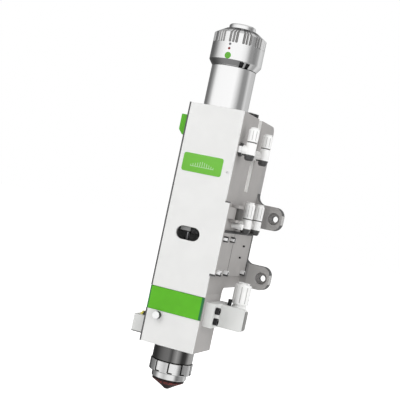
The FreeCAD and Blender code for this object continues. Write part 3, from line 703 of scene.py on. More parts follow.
class Finishes:
    """Every finish of the head, by use. The regions come first."""

    # Painted shade on the rounded left front edge, which turns away from the light.
    left_edge_shade = Region(grey(0.09), (LEAST, -27.0), (LEAST, -25.8))
    grey_sides = Region(BODY_GREY, y=(-26.0, MOST))
    # Painted light: the groove in the housing's side is lightened to the tone of a lit face, though
    # little light reaches it.
    groove_painted_light = Region((0.86, 0.855, 0.84), (20.0, 28.6), (26.0, 40.2), (200.0, 300.0))
    cover_seam = Region((0.17, 0.165, 0.16), (30.5, 40.0), (10.3, 12.0), (123.0, 169.6))
    # Painted shade along the side cover's rear edge, in the corner where it meets the mounting
    # plate.
    cover_rear_edge_shade = Region(grey(0.06), (30.5, 40.0), (71.2, 77.0), (123.0, 169.6))
    # Painted shade along the side cover's rounded top edge.
    cover_top_edge_shade = Region(grey(0.04), (30.5, 40.0), (-25.0, 77.0), (167.0, 169.7))
    cover_back = Region(BODY_GREY, (33.9, 40.0), (-26.6, -23.0), (100.0, 300.0))
    # Painted shadow under the foot of the cover's side wing.
    wing_foot_shadow = Region(grey(0.06), (28.8, MOST), z=(123.3, 125.3))
    # Painted shade along the top edge of the cover's side wing.
    wing_head_shade = Region(grey(0.08), (29.2, MOST), z=(196.3, 198.0))
    # Painted light and shade on the mounting plate: lighter ear faces, dark rims, the plate's own
    # grey kept in the bores, and painted highlights on the right rims by the holes.
    plate_light_and_shade = (
        Region((0.47, 0.46, 0.45), (36.0, MOST), (70.0, 76.4), (110.0, 138.0)),
        Region((0.41, 0.40, 0.39), (46.0, MOST), (70.0, 76.4), (175.0, 204.0)),
        Region(grey(0.05), y=(76.3, 87.6), z=(LEAST, 213.0))) + tuple(
        Region(PLATE_GREY, (x - 7.0, x + 7.0), (76.0, 82.6), (z - 6.6, z + 6.6))
        for x in HOLE_SIDES for z in HOLE_HEIGHTS) + tuple(
        Region((0.50, 0.49, 0.48), (59.6, MOST), (76.6, 87.0), (z - 5.0, z + 5.0))
        for z in HOLE_HEIGHTS)
    # Painted shade on the gas block's far right side.
    panel_side_shade = Region((0.22, 0.22, 0.21), (63.9, MOST))
    connector_foot = Region(grey(0.12), (LEAST, -29.0), z=(LEAST, 51.0))
    # Painted shade on the top and bottom of the side screws' heads.
    screw_edge_shade = Region.levels(
        grey(0.03), ((162.3, 165.0), (157.0, 159.6), (123.0, 126.0)), (33.0, 45.0))
    coding = Region((0.75, 0.68, 0.10), (-50.0, -38.2), (-20.0, 20.0), (67.6, 80.0))
    # Painted shade on the top and bottom facets of the fittings' hexagons.
    hexagon_end_shade = Region.levels(
        grey(0.05), ((253.2, 260.0), (240.0, 246.8), (181.2, 188.0), (168.0, 174.8),
                     (90.5, 100.0), (72.0, 81.5)))
    # Painted shadow on the heels of the white elbows.
    heel_shadows = Region.levels(
        grey(0.06), ((238.0, 246.3), (166.0, 174.3)), (33.0, 60.0), (-30.0, 80.0))

    cover = Powder("cover_paint", (0.82, 0.82, 0.81),
                   regions=(left_edge_shade, cover_back, wing_foot_shadow, wing_head_shade))
    block = Powder("block_paint", (0.81, 0.81, 0.80), regions=(grey_sides, left_edge_shade))
    gas = Powder("gas_block_paint", (0.76, 0.765, 0.75), rough=0.4, edge=0.5,
                 regions=(panel_side_shade, connector_foot))
    scale = Powder("scale_white", (0.88, 0.88, 0.87), rough=0.4, edge=0.0, relief=0.004)
    # Painted highlight: the drawer knob's face is white, in place of the light on a chrome face.
    knob_face_highlight = Powder("knob_face_highlight", grey(0.95), rough=0.3, edge=0.0, relief=0.004)
    ceramic = Powder("white_ceramic", (0.82, 0.80, 0.74), rough=0.3, edge=0.0, relief=0.01)
    body = Blasted("body_anodised", BODY_GREY, rough=0.5, metal=0.15, edge=0.45, relief=0.02,
                   regions=(groove_painted_light, cover_seam, cover_rear_edge_shade, cover_top_edge_shade))
    plate = Blasted("plate_anodised", PLATE_GREY, rough=0.45, metal=0.2, edge=0.5, relief=0.01,
                    regions=plate_light_and_shade)
    side_knob = Blasted("side_knob_dark", (0.16, 0.155, 0.15), metal=0.3, edge=0.2)
    # Painted shade: the drawer knob's knurled side is near black, in place of the dark side of a
    # chrome knob.
    knob_side_shade = Blasted("knob_side_shade", (0.03, 0.035, 0.03), rough=0.35, edge=0.0, relief=0.004,
                        gloss=0.3)
    # Black oxide on screws and plugs; also painted shade in the collar's pockets and the screw
    # recesses, and on the black pins set where the side cover has two small holes.
    black_metal_and_shade = Blasted("black_oxide_and_painted_shade", (0.010, 0.010, 0.011), rough=0.42, edge=0.2,
                          relief=0.01, gloss=0.3)
    carriage = Blasted("carriage_black", (0.014, 0.014, 0.015), rough=0.5, metal=0.2)
    inner = Machined("inner_milled", (0.60, 0.60, 0.61), rough=0.34, way=Way.ALONG_Y, edge=0.35,
                     relief=0.01)
    # The painted_sheen tables of the barrel, collar, nut and sensor are painted reflections: bands
    # of light and dark round the turn.
    barrel = Machined("barrel_polished", grey(0.93), rough=0.16, lines=7.0, streak=0.03,
                      relief=0.002, painted_sheen=(
                          (0.00, 0.80), (0.08, 0.70), (0.14, 0.95), (0.33, 1.0), (0.36, 0.80),
                          (0.385, 1.0), (0.42, 0.95), (0.46, 0.72), (0.53, 0.70)))
    collar = Machined("collar_satin", grey(0.93), rough=0.22, lines=6.0, streak=0.04,
                      relief=0.003, painted_sheen=(
                          (0.00, 0.80), (0.07, 0.40), (0.12, 0.55), (0.19, 0.80), (0.24, 1.0),
                          (0.40, 1.0), (0.425, 0.50), (0.445, 0.45), (0.465, 0.90), (0.53, 0.80)))
    # Painted shade and dark reflection: the collar's top cone, part of its foot and the receiver's
    # lip wall take this dark grey.
    collar_shade = Machined("collar_painted_shade_band", grey(0.22), rough=0.3, lines=6.0, streak=0.1)
    # Painted shade in the flutes: their faces take a darker grey than the collar.
    flute = Machined("collar_flute_shade", (0.30, 0.295, 0.29), rough=0.3, lines=6.0, streak=0.15)
    nut = Machined("nut_turned", grey(0.86), rough=0.26, streak=0.06, painted_sheen=(
        (0.00, 0.70), (0.06, 0.15), (0.11, 0.25), (0.13, 0.80), (0.17, 0.42), (0.21, 0.95),
        (0.26, 0.60), (0.30, 0.90), (0.35, 1.0), (0.375, 0.50), (0.41, 0.90), (0.44, 0.45),
        (0.48, 0.90), (0.53, 0.35), (0.62, 0.80)))
    # Painted shade in the nut's grooves and along its top edge.
    nut_shade = Machined("nut_groove_shade", grey(0.04), rough=0.5, relief=0.05)
    sensor = Machined("sensor_dark_steel", (0.46, 0.455, 0.45), rough=0.24, lines=4.0, painted_sheen=(
        (0.00, 0.40), (0.10, 0.12), (0.18, 0.14), (0.235, 0.30), (0.27, 0.33), (0.295, 0.14),
        (0.335, 0.68), (0.36, 0.45), (0.38, 0.20), (0.41, 0.30), (0.45, 0.85), (0.50, 0.95),
        (0.54, 0.40), (0.65, 0.60)))
    pin = Machined("pin_satin", grey(0.80), rough=0.45, way=Way.ROUND_Y, edge=0.1, relief=0.002,
                   metal=0.3)
    hexagon = Machined("hexagon_nickel", grey(0.95), rough=0.28, way=Way.ALONG_Y, lines=4.0,
                       edge=0.25, metal=0.1, regions=hexagon_end_shade)
    side_screw = Machined("side_screw_bright", grey(0.78), rough=0.3, way=Way.ROUND_X,
                          relief=0.003, metal=0.2, regions=screw_edge_shade)
    rods = Machined("rod_ground", (0.66, 0.66, 0.68), rough=0.16, edge=0.2, relief=0.002)
    green = Moulded("handle_green", (0.108, 0.463, 0.020), rough=0.36, relief=0.01, coat=0.05,
                    gloss=0.3)
    drawer = Banded("drawer_green", (0.108, 0.463, 0.018), rough=0.38, relief=0.01, coat=0.05,
                    gloss=0.25)
    fitting = Moulded("fitting_white", (0.93, 0.93, 0.92), rough=0.25, coat=0.4, edge=0.0,
                      relief=0.008, regions=heel_shadows)
    cap_white = Moulded("cap_white", (0.95, 0.95, 0.94), rough=0.25, coat=0.4, edge=0.0,
                        relief=0.008)
    # The black seam ring of the elbows, and the black heel cap that is painted shadow under them.
    fitting_seam_and_heel_shade = Moulded("fitting_seam_and_heel_shade", grey(0.04), edge=0.0)
    # Painted shade in the channels between the ribs of the white sleeves.
    channel_shade = Moulded("fitting_channel_shade", (0.50, 0.50, 0.49), rough=0.35, edge=0.0)
    black_plastic = Moulded("black_plastic", grey(0.014), rough=0.38, relief=0.02)
    plug = Moulded("plug_black_yellow", grey(0.014), rough=0.38, edge=0.0, relief=0.01, coat=0.1,
                   regions=(coding,))
    rubber = Moulded("seal_rubber", grey(0.02), rough=0.7, coat=0.0, relief=0.03)
    glass = CoatedGlass("optical_glass", (0.55, 0.72, 0.62), rough=0.04)
    pane = CoatedGlass("window_pane", (0.015, 0.016, 0.016), rough=0.05, clear=0.16,
                       bloom=(0.02, 0.02, 0.022))
    nozzle = HeatTinted("burnt_copper", (0.012, 0.005, 0.005), rough=0.45, edge=0.0,
                        relief=0.01, gloss=0.25)
    board = Circuit("circuit_board", (0.03, 0.17, 0.06), rough=0.35, edge=0.0, relief=0.02)
    label = Printed("label_print", (0.165, 0.50, 0.055), edge=0.0, relief=0.004, gloss=0.25)
    dots = DotPaint("dot_paint", (0.13, 0.42, 0.05), edge=0.0, relief=0.004, gloss=0.2)


# Surfaces


@dataclass
class Patch:
    """A piece of surface before it goes into a mesh.

    Attributes:
        points: corners, mm about the beam axis.
        faces: rows of corner numbers.
        bands: which finish each face takes.
    """

    points: Array
    faces: list[list[int]]
    bands: Array


def softened(corners: Sequence[tuple[float, float]], radius: float, steps: int = 3,
             closed: bool = True) -> Array:
    """Round every corner of a profile.

    Each corner C gives way to a quadratic curve (1-t)^2 P + 2t(1-t) C + t^2 Q, where P and Q
    lie on its two edges, radius away from it but no further than 0.45 of the edge.

    Args:
        corners: corners in order.
        radius: distance from a corner at which its curve starts.
        steps: number of segments in each curve.
        closed: whether the last corner joins the first.

    Returns:
        The rounded profile, one row a point.
    """
    at = np.asarray(corners, float)
    back = np.roll(at, 1, axis=0) - at
    on = np.roll(at, -1, axis=0) - at
    size_back = np.linalg.norm(back, axis=1, keepdims=True)
    size_on = np.linalg.norm(on, axis=1, keepdims=True)
    start = at + back * np.minimum(radius / size_back, 0.45)
    end = at + on * np.minimum(radius / size_on, 0.45)
    t = np.linspace(0.0, 1.0, steps + 1)[None, :, None]
    curve = (1 - t) ** 2 * start[:, None] + 2 * t * (1 - t) * at[:, None] + t ** 2 * end[:, None]
    if not closed:
        return np.vstack([at[:1], curve[1:-1].reshape(-1, 2), at[-1:]])
    return curve.reshape(-1, 2)


def densified(profile: Array, step: float, low: float, high: float) -> Array:
    """Divide the long runs of a closed profile whose heights lie between two limits.

    Args:
        profile: rows of (radius, height).
        step: longest run left between low and high.
        low: lower height.
        high: upper height.

    Returns:
        The profile with more points.
    """
    after = np.roll(profile, -1, axis=0)
    length = np.linalg.norm(after - profile, axis=1)
    middle = (profile[:, 1] + after[:, 1]) / 2
    near = (middle > low) & (middle < high)
    count = np.where(near, np.maximum(1, np.ceil(length / step)), 1).astype(int)
    index = np.repeat(np.arange(len(profile)), count)
    first = np.cumsum(count) - count
    share = (np.arange(len(index)) - first[index]) / count[index]
    return profile[index] + (after - profile)[index] * share[:, None]


def grid_faces(rows: int, count: int, closed: bool = False) -> Array:
    """Faces of a grid of points whose rows run all the way round.

    Args:
        rows: number of rows.
        count: points in a row.
        closed: whether the last row joins the first.

    Returns:
        Four corner numbers for each face.
    """
    i, j = np.meshgrid(np.arange(rows if closed else rows - 1), np.arange(count), indexing="ij")
    below, beside = (i + 1) % rows, (j + 1) % count
    return np.stack([i * count + j, i * count + beside,
                     below * count + beside, below * count + j], axis=-1).reshape(-1, 4)


class Axis(Enum):
    """Line about which a piece is turned: columns are the two cross directions and the axis."""

    UP = ((1, 0, 0), (0, 1, 0), (0, 0, 1))
    FRONT = ((1, 0, 0), (0, 0, 1), (0, -1, 0))
    RIGHT = ((0, 1, 0), (0, 0, 1), (1, 0, 0))


def turned(profile: Array, segments: int = 128, axis: Axis = Axis.UP,
           centre: Point = (0.0, 0.0, 0.0), relief: Relief | None = None,
           bands: Bands | None = None, closed: bool = True) -> Patch:
    """Turn a profile about an axis.

    The point of profile row i at angle a is centre + (r_i - relief(a, h_i)) (u cos a + v sin a)
    + h_i w, with u, v and w the columns of the axis.

    Args:
        profile: rows of (radius, height along the axis).
        segments: divisions of the full turn.
        axis: line that it is turned about.
        centre: point on that line from which heights count.
        relief: depth cut into the surface at (angle, height), mm.
        bands: finish number at (angle, height, radius) of a face's middle.
        closed: whether the last row joins the first.

    Returns:
        The turned surface.
    """
    rows, _ = profile.shape
    angle = np.linspace(0.0, 2 * np.pi, segments, endpoint=False)[None, :]
    radius = np.repeat(profile[:, :1], segments, axis=1)
    height = np.repeat(profile[:, 1:], segments, axis=1)
    if relief is not None:
        radius = radius - np.where(radius > 1e-6, relief(angle, height), 0.0)
    u, v, w = (np.array(column, float) for column in axis.value)
    points = (np.asarray(centre, float) + radius[..., None] * (
        np.cos(angle)[..., None] * u + np.sin(angle)[..., None] * v) + height[..., None] * w)
    faces = grid_faces(rows, segments, closed)
    marks = np.zeros(len(faces), int)
    if bands is not None:
        flat_radius, flat_height = radius.reshape(-1), height.reshape(-1)
        middle = angle[0][faces[:, 0] % segments] + np.pi / segments
        marks = bands(middle, flat_height[faces].mean(axis=1), flat_radius[faces].mean(axis=1))
    return Patch(points.reshape(-1, 3), faces.tolist(), marks.astype(int))


def slab(outline: Array, low: float, high: float, rim: float, axis: Axis = Axis.UP,
         centre: Point = (0.0, 0.0, 0.0)) -> Patch:
    """Raise a convex outline into a plate with rounded rims.

    Ring k is the outline scaled towards its middle by the inset of a quarter circle of radius
    rim, at that quarter circle's height; flat faces close both ends.

    Args:
        outline: rows of (across, up) about the outline's own middle.
        low: height of the lower face along the axis.
        high: height of the upper face.
        rim: radius of the rims.
        axis: direction in which it is raised.
        centre: place of the outline's middle.

    Returns:
        The closed surface.
    """
    turn = np.linspace(0.0, np.pi / 2, 4)
    inset = np.concatenate([rim * (1 - np.sin(turn)), rim * (1 - np.cos(turn))])
    level = np.concatenate([low + rim * (1 - np.cos(turn)), high - rim * (1 - np.sin(turn))])
    reach = np.linalg.norm(outline, axis=1, keepdims=True)
    ring = outline[None] * (1 - inset[:, None, None] / reach[None])
    u, v, w = (np.array(column, float) for column in axis.value)
    points = (np.asarray(centre, float) + ring[..., :1] * u + ring[..., 1:] * v
              + level[:, None, None] * w)
    rows, count = ring.shape[:2]
    faces = grid_faces(rows, count).tolist()
    faces.append(list(range(count))[::-1])
    faces.append(list(range((rows - 1) * count, rows * count)))
    return Patch(points.reshape(-1, 3), faces, np.zeros(len(faces), int))


def button(radius: float, low: float, high: float, ease: float, segments: int, centre: Point,
           axis: Axis = Axis.UP, steps: int = 4, bands: Bands | None = None) -> Patch:
    """Turn a solid round button with eased edges.

    Args:
        radius: its radius.
        low: height of its foot along the axis.
        high: height of its face.
        ease: distance from an edge at which its rounding starts.
        segments: divisions of the full turn.
        centre: point on the axis from which heights count.
        axis: line that it is turned about.
        steps: segments across an eased edge.
        bands: finish number at (angle, height, radius).

    Returns:
        The closed surface.
    """
    profile = softened([(0.0, low), (radius, low), (radius, high), (0.0, high)], ease, steps,
                       closed=False)
    return turned(profile, segments, axis, centre, bands=bands, closed=False)


def rounded_rectangle(width: float, height: float, radius: float, steps: int = 8) -> Array:
    """Outline of a rectangle with round corners, about its middle.

    A corner's arc is its centre plus radius times (cos a, sin a) over a quarter turn.

    Args:
        width: full width.
        height: full height.
        radius: corner radius.
        steps: segments in each corner.

    Returns:
        Rows of (across, up).
    """
    quarter = np.linspace(0.0, np.pi / 2, steps + 1)
    starts = np.arange(4)[:, None] * np.pi / 2
    angle = starts + quarter[None]
    signs = np.array([[1, 1], [-1, 1], [-1, -1], [1, -1]], float)
    middles = signs * [width / 2 - radius, height / 2 - radius]
    arcs = middles[:, None] + radius * np.stack([np.cos(angle), np.sin(angle)], axis=-1)
    return arcs.reshape(-1, 2)


def hexagon_outline(across_flats: float, radius: float = 0.6) -> Array:
    """Outline of a hexagon with eased corners, flats facing along the second direction.

    Corner k lies at flats / sqrt(3) from the middle, at 30 + 60 k degrees.

    Args:
        across_flats: distance between opposite flats.
        radius: distance from a corner at which its rounding starts.

    Returns:
        Rows of (across, up).
    """
    angle = np.radians(np.arange(6) * 60.0 + 30.0)
    corners = across_flats / math.sqrt(3) * np.stack([np.cos(angle), np.sin(angle)], axis=-1)
    return softened(corners, radius, 2)


def ring_profile(inner: float, outer: float, low: float, high: float,
                 ease: float = 0.3) -> Array:
    """Closed profile of a plain ring with eased edges."""
    return softened([(inner, low), (outer, low), (outer, high), (inner, high)], ease)


class Piece:
    """Puts patches into one mesh, at its place in the frame, and makes it ride on a body."""

    @classmethod
    def build(cls, name: str, patches: Sequence[Patch], finishes: Sequence[Finish], body: str,
              stands_for: Sequence[str] = (), slot: str | None = None,
              crease: float = 34.0) -> None:
        """Make one finished piece.

        Args:
            name: name of the piece.
            patches: its surfaces.
            finishes: finishes that the patches' bands number.
            body: CAD body that it rides on.
            stands_for: CAD nodes that it replaces.
            slot: record's material slot; not used.
            crease: edges sharper than this many degrees stay sharp.
        """
        start, points, faces, bands = 0, [], [], []
        for patch in patches:
            points.append(patch.points)
            faces.extend([[corner + start for corner in face] for face in patch.faces])
            bands.append(patch.bands)
            start += len(patch.points)
        placed = (np.vstack(points) + NOZZLE_TIP) / 1000.0
        mesh = bpy.data.meshes.new(name)
        mesh.from_pydata(placed.tolist(), [], faces)
        for finish in finishes:
            mesh.materials.append(finish.material())
        mesh.polygons.foreach_set("material_index", np.concatenate(bands).astype(np.int32))
        cls._close(mesh)
        mesh.polygons.foreach_set("use_smooth", np.ones(len(mesh.polygons), bool))
        mesh.set_sharp_from_angle(angle=math.radians(crease))
        made = bpy.data.objects.new(name, mesh)
        bpy.context.scene.collection.objects.link(made)
        if stands_for:
            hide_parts(*stands_for)
        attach(made, body)
        LOG.info("piece %s: %d faces on %s", name, len(mesh.polygons), body)

    @staticmethod
    def _close(mesh: bpy.types.Mesh) -> None:
        """Merge the poles and seams, and turn every face outwards.

        Args:
            mesh: mesh to close.
        """
        work = bmesh.new()
        work.from_mesh(mesh)
        bmesh.ops.remove_doubles(work, verts=work.verts, dist=1e-7)
        bmesh.ops.recalc_face_normals(work, faces=work.faces)
        work.to_mesh(mesh)
        work.free()


def arc_gap(angle: Array, centres: Array, radius: float) -> Array:
    """Distance along the rim from each angle to the nearest of some centres, mm."""
    gap = (angle[..., None] - centres + np.pi) % (2 * np.pi) - np.pi
    return np.abs(gap).min(axis=-1) * radius


# Sub-assemblies


@dataclass
class Receiver:
    """Barrel, fibre receiver, locking collar and the collar's marks."""

    barrel_radius: float = 22.7
    barrel_bore: float = 16.0
    barrel_low: float = 287.0
    barrel_high: float = 329.0
    collar_radius: float = 26.7
    collar_bore: float = 20.05
    collar_low: float = 329.5
    collar_high: float = 368.5
    foot: float = 5.6
    shoulder: float = 6.5
    step_drop: float = 2.0
    step_gap: float = 0.35
    rim_radius: float = 16.3
    cone_start: float = 17.5
    lip_radius: float = 13.6
    lip_high: float = 373.5
    receiver_radius: float = 20.0
    receiver_bore: float = 11.0
    keyway: float = 1.6
    keyway_length: float = 14.0
    groups: int = 12
    flutes: int = 3
    flute_radius: float = 1.2
    flute_pitch: float = 7.2
    first_group: float = -85.0
    flute_height: float = 10.0
    # Turn of the collar's foot, in degrees, that takes a painted dark reflection.
    painted_shade_turn: Span = (150.0, 306.0)
    pocket: float = 4.4
    pocket_depth: float = 1.6
    pocket_rise: float = 2.4
    pocket_angles: Span = (-56.0, -41.0)
    dots: tuple[Span, ...] = ((1.3, 349.65), (1.3, 345.2), (3.3, 338.2))
    dot_bulge: float = 0.10
    dot_depth: float = 0.3

    def build(self) -> None:
        """Make the four pieces."""
        self._barrel()
        self._receiver()
        self._collar()
        self._dots()

    def _barrel(self) -> None:
        """A polished tube; its profile is a plain ring with eased edges."""
        profile = ring_profile(self.barrel_bore, self.barrel_radius, self.barrel_low,
                               self.barrel_high, 0.4)
        Piece.build("barrel_polished_tube", [turned(profile, 160)], [Finishes.barrel], "head",
                    ["barrel_tube"], "chromed")

    def _receiver(self) -> None:
        """The stepped socket: a turned profile with three keyways cut in its bore."""
        step = self.collar_high - self.shoulder - self.step_drop
        bore, lip, top = self.receiver_bore, self.lip_radius, self.lip_high
        corners = [(bore, self.barrel_high), (self.receiver_radius, self.barrel_high),
                   (self.receiver_radius, step), (lip, step), (lip, top - 1.2), (lip - 0.9, top),
                   (bore + 0.9, top), (bore, top - 1.0)]
        profile = densified(softened(corners, 0.25), 1.0, top - self.keyway_length - 1, top + 1)
        keys = np.radians([60.0, 180.0, 300.0])

        def keyways(angle: Array, height: Array) -> Array:
            """Outwards where the angle is near a key and the height is in the mouth."""
            near = arc_gap(angle, keys, bore) < self.keyway
            return np.where(near & (height > top - self.keyway_length), -self.keyway, 0.0)

        rows = profile[:, 0] < bore + 0.5
        # Painted shade: the lip's outer wall, below its top 4 mm, takes the dark band finish.
        patch = turned(
            profile, 180, relief=lambda a, h: keyways(a, h) * rows[:, None],
            bands=lambda a, h, r: (h < top - 4.0) & (r > lip - 0.4))
        Piece.build("fibre_socket_body", [patch], [Finishes.collar, Finishes.collar_shade],
                    "head", ["fibre_receiver"], "chromed")

    def _flute_centres(self) -> Array:
        """Lay the groups round the rim and the flutes evenly inside each.

        Returns:
            Angles of all flutes.
        """
        group = np.arange(self.groups)[:, None] * 2 * np.pi / self.groups
        pitch = math.radians(self.flute_pitch)
        inside = (np.arange(self.flutes) - (self.flutes - 1) / 2)[None] * pitch
        return (group + inside + np.radians(self.first_group)).reshape(-1)

    def _collar(self) -> None:
        """The fluted collar.

        The depth of a flute is the height of a circle of its radius over the arc distance to
        its centre line, and it runs out over its lowest millimetre. A pocket is a square cut.
        """
        top = self.collar_high - self.shoulder
        step = top - self.step_drop + self.step_gap
        low = self.collar_low
        lip = self.lip_radius + 0.05
        flute_low = top - self.flute_height
        pocket_middle = low + self.pocket_rise
        corners = [(self.collar_bore, low), (self.barrel_radius, low),
                   (self.collar_radius, low + self.foot), (self.collar_radius, flute_low - 0.6),
                   (self.collar_radius, top), (self.rim_radius, self.collar_high),
                   (lip, self.collar_high), (lip, step), (self.collar_bore, step)]
        profile = softened(corners, 0.35)
        profile = densified(profile, 0.45, flute_low - 0.6, self.collar_high)
        profile = densified(profile, 0.4, low - 0.1, low + self.foot)
        centres = self._flute_centres()
        pockets = np.radians(np.array(self.pocket_angles))
        outside = (profile[:, 0] > self.cone_start)[:, None]
        shell = (profile[:, 0] > self.barrel_radius - 0.5)[:, None]

        def cut(angle: Array, height: Array) -> Array:
            """Cut the flutes and pockets.

            Args:
                angle: angles round the collar.
                height: heights, mm.

            Returns:
                Depth of the cut.
            """
            gap = arc_gap(angle, centres, self.collar_radius)
            depth = np.sqrt(np.maximum(0.0, self.flute_radius ** 2 - gap ** 2))
            run = np.clip((height - flute_low) / 1.0, 0.0, 1.0)
            flutes = depth * np.sqrt(run) * outside
            near = arc_gap(angle, pockets, self.collar_radius) < self.pocket / 2
            level = np.abs(height - pocket_middle) < self.pocket / 2
            return np.maximum(flutes, np.where(near & level & shell, self.pocket_depth, 0.0))

        def finish(angle: Array, height: Array, radius: Array) -> Array:
            """Paint shade and dark reflection on part of the foot, the top cone, the flutes and the
            pockets.

            Args:
                angle: angles of the faces.
                height: their heights, mm.
                radius: their radii, mm.

            Returns:
                Number of each face's finish.
            """
            turn = np.degrees(angle) % 360.0
            shaded = (turn > self.painted_shade_turn[0]) & (turn < self.painted_shade_turn[1])
            foot = (height > low + 0.3) & (height < low + self.foot - 0.1) & shaded
            dark = foot | (height > top + 2.9)
            gap = arc_gap(angle, centres, self.collar_radius)
            fluted = (gap < self.flute_radius * 0.85) & (height > flute_low + 0.4) & (
                radius > self.cone_start)
            near = arc_gap(angle, pockets, self.collar_radius) < self.pocket / 2 + 0.1
            level = np.abs(height - pocket_middle) < self.pocket / 2 + 0.2
            return np.where(near & level, 2, np.where(dark, 1, np.where(fluted, 3, 0)))

        patch = turned(profile, 720, relief=cut, bands=finish)
        Piece.build("fluted_locking_collar", [patch],
                    [Finishes.collar, Finishes.collar_shade, Finishes.black_metal_and_shade,
                     Finishes.flute], "collar", ["locking_collar"], "chromed", crease=40.0)

    def _dots(self) -> None:
        """Painted marks: thin discs bent round the collar, bulging slightly at the middle."""
        patches = []
        for radius, height in self.dots:
            share = np.linspace(0.0, 1.0, 7)[:, None]
            turn = np.linspace(0.0, 2 * np.pi, 36, endpoint=False)[None]
            across = radius * share * np.cos(turn)
            up = height + radius * share * np.sin(turn)
            bulge = self.collar_radius + self.dot_bulge * (1 - share ** 4) + 0.01
            angle = across / self.collar_radius - np.pi / 2
            front = np.stack([bulge * np.cos(angle), bulge * np.sin(angle), up], axis=-1)
            depth = self.collar_radius - self.dot_depth
            back = np.stack([depth * np.cos(angle), depth * np.sin(angle), up + 0 * angle], axis=-1)
            points = np.concatenate([front, back[::-1]], axis=0)
            faces = grid_faces(*points.shape[:2])
            patches.append(Patch(points.reshape(-1, 3), faces.tolist(), np.zeros(len(faces), int)))
        Piece.build("collar_marks", patches, [Finishes.dots], "collar", ["collar_dots"],
                    "dot_paint")


@dataclass
class NozzleEnd:
    """Sensor body, lock nut with its grip pads, ceramic ring and nozzle."""

    sensor_radius: float = 20.6
    thread_radius: float = 18.5
    thread_gap: float = 0.05
    sensor_bore: float = 12.0
    sensor_high: float = 45.0
    nut_radius: float = 21.6
    ring_radius: float = 17.6
    nut_low: float = 11.3
    pad_low: float = 17.8
    nut_high: float = 29.6
    nut_lip: float = 8.5
    chamfer: float = 0.8
    pads: int = 10
    first_groove: float = -75.8
    groove: float = 1.3
    groove_depth: float = 1.3
    groove_foot: float = 1.5
    undercut: float = 4.6
    undercut_half: float = 0.55
    neck_radius: float = 13.4
    neck_gap: float = 0.4
    flange_radius: float = 17.4
    flange: float = 4.0
    nozzle_radius: float = 16.3
    cone: float = 8.8
    rim_high: float = 10.8
    tip_radius: float = 2.0
    screw_radius: float = 7.0
    screw_length: float = 8.0
    sag: float = 0.25

    def build(self) -> None:
        """Make the four pieces."""
        self._sensor()
        self._nut()
        self._ceramic()
        self._nozzle()

    @property
    def ceramic_high(self) -> float:
        """Top of the ceramic ring, on which the sensor body stands."""
        return self.nut_low + self.nut_lip + self.flange

    def _sensor(self) -> None:
        """The dark cylinder: a turned profile with a waist for the nut."""
        low, shoulder = self.ceramic_high, self.nut_high + 0.4
        corners = [(self.sensor_bore, low), (self.thread_radius, low),
                   (self.thread_radius, shoulder), (self.sensor_radius, shoulder),
                   (self.sensor_radius, self.sensor_high), (self.sensor_bore, self.sensor_high)]
        profile = softened(corners, 0.3)
        Piece.build("sensor_turned_body", [turned(profile, 160)], [Finishes.sensor], "head",
                    ["sensor_body"], "dark_steel")

    def _nut(self) -> None:
        """The nut: pads between grooves that run down from the top and turn to one side.

        A groove is cut where the arc distance to its line is under half its width and the
        height is over its foot; the undercut is cut beside its foot over a short arc.
        """
        low, high, foot = self.nut_low, self.nut_high, self.pad_low
        ring, pad, ease = self.ring_radius, self.nut_radius, self.chamfer
        neck, thread = self.neck_radius + self.neck_gap, self.thread_radius + self.thread_gap
        corners = [(neck, low), (ring - ease, low), (ring, low + ease), (ring, foot),
                   (pad - ease, foot), (pad, foot + ease), (pad, high - ease), (pad - ease, high),
                   (thread, high), (thread, low + self.nut_lip), (neck, low + self.nut_lip)]
        profile = densified(softened(corners, 0.25), 0.36, foot - 0.1, high + 0.5)
        outer = (profile[:, 0] > pad - 1.2)[:, None]

        def cut(angle: Array, height: Array) -> Array:
            """Depth of the grooves and undercuts."""
            return np.where(self._grooved(angle, height) & outer, self.groove_depth, 0.0)

        def finish(angle: Array, height: Array, radius: Array) -> Array:
            """Painted shade: dark in the grooves and along the top edge."""
            inside = self._grooved(angle, height) & (radius > pad - 2.4)
            return np.where(inside | (height > high - 0.3), 1, 0)

        patch = turned(profile, 540, relief=cut, bands=finish)
        Piece.build("lock_nut_with_pads", [patch], [Finishes.nut, Finishes.nut_shade], "nut",
                    ["lock_nut"], "chromed")

    def _grooved(self, angle: Array, height: Array) -> Array:
        """Whether a point of the rim lies in a groove.

        Args:
            angle: angles round the rim.
            height: heights, mm.

        Returns:
            True inside a groove.
        """
        lines = np.radians(np.arange(self.pads) * 360.0 / self.pads + self.first_groove)
        foot = self.pad_low + self.groove_foot
        turn = (angle[..., None] - lines + np.pi) % (2 * np.pi) - np.pi
        along = turn * self.nut_radius
        upright = (np.abs(along) < self.groove / 2).any(axis=-1) & (height > foot)
        side = ((along > 0) & (along < self.undercut)).any(axis=-1)
        return upright | (side & (np.abs(height - foot) < self.undercut_half))

    def _ceramic(self) -> None:
        """The insulating ring between the nut and the nozzle."""
        low, high = self.rim_high + 0.1, self.ceramic_high
        step = self.nut_low + self.nut_lip
        bore = self.screw_radius + 0.05
        corners = [(bore, low), (self.neck_radius, low), (self.neck_radius, step),
                   (self.flange_radius, step), (self.flange_radius, high), (bore, high)]
        Piece.build("ceramic_insulator", [turned(softened(corners, 0.25), 128)],
                    [Finishes.ceramic], "head", ["ceramic_ring"], "ceramic_white")

    def _nozzle(self) -> None:
        """The cone: its slope sags by a small sine so that it catches the light softly."""
        share = np.linspace(0.0, 1.0, 12)
        slope_radius = self.tip_radius + (self.nozzle_radius - self.tip_radius) * share
        slope_height = self.cone * share + self.sag * np.sin(np.pi * share)
        slope = np.stack([slope_radius, slope_height], axis=-1)
        screw, top = self.screw_radius, self.rim_high + self.screw_length
        tail = np.array([(self.nozzle_radius, self.rim_high), (screw, self.rim_high),
                         (screw, top), (screw - 2.0, top), (1.0, 3.0), (1.0, 0.0)])
        profile = softened(np.vstack([slope, tail]), 0.3)
        Piece.build("nozzle_cone", [turned(profile, 160)], [Finishes.nozzle], "nozzle_body",
                    ["nozzle"], "burnt_copper", crease=30.0)


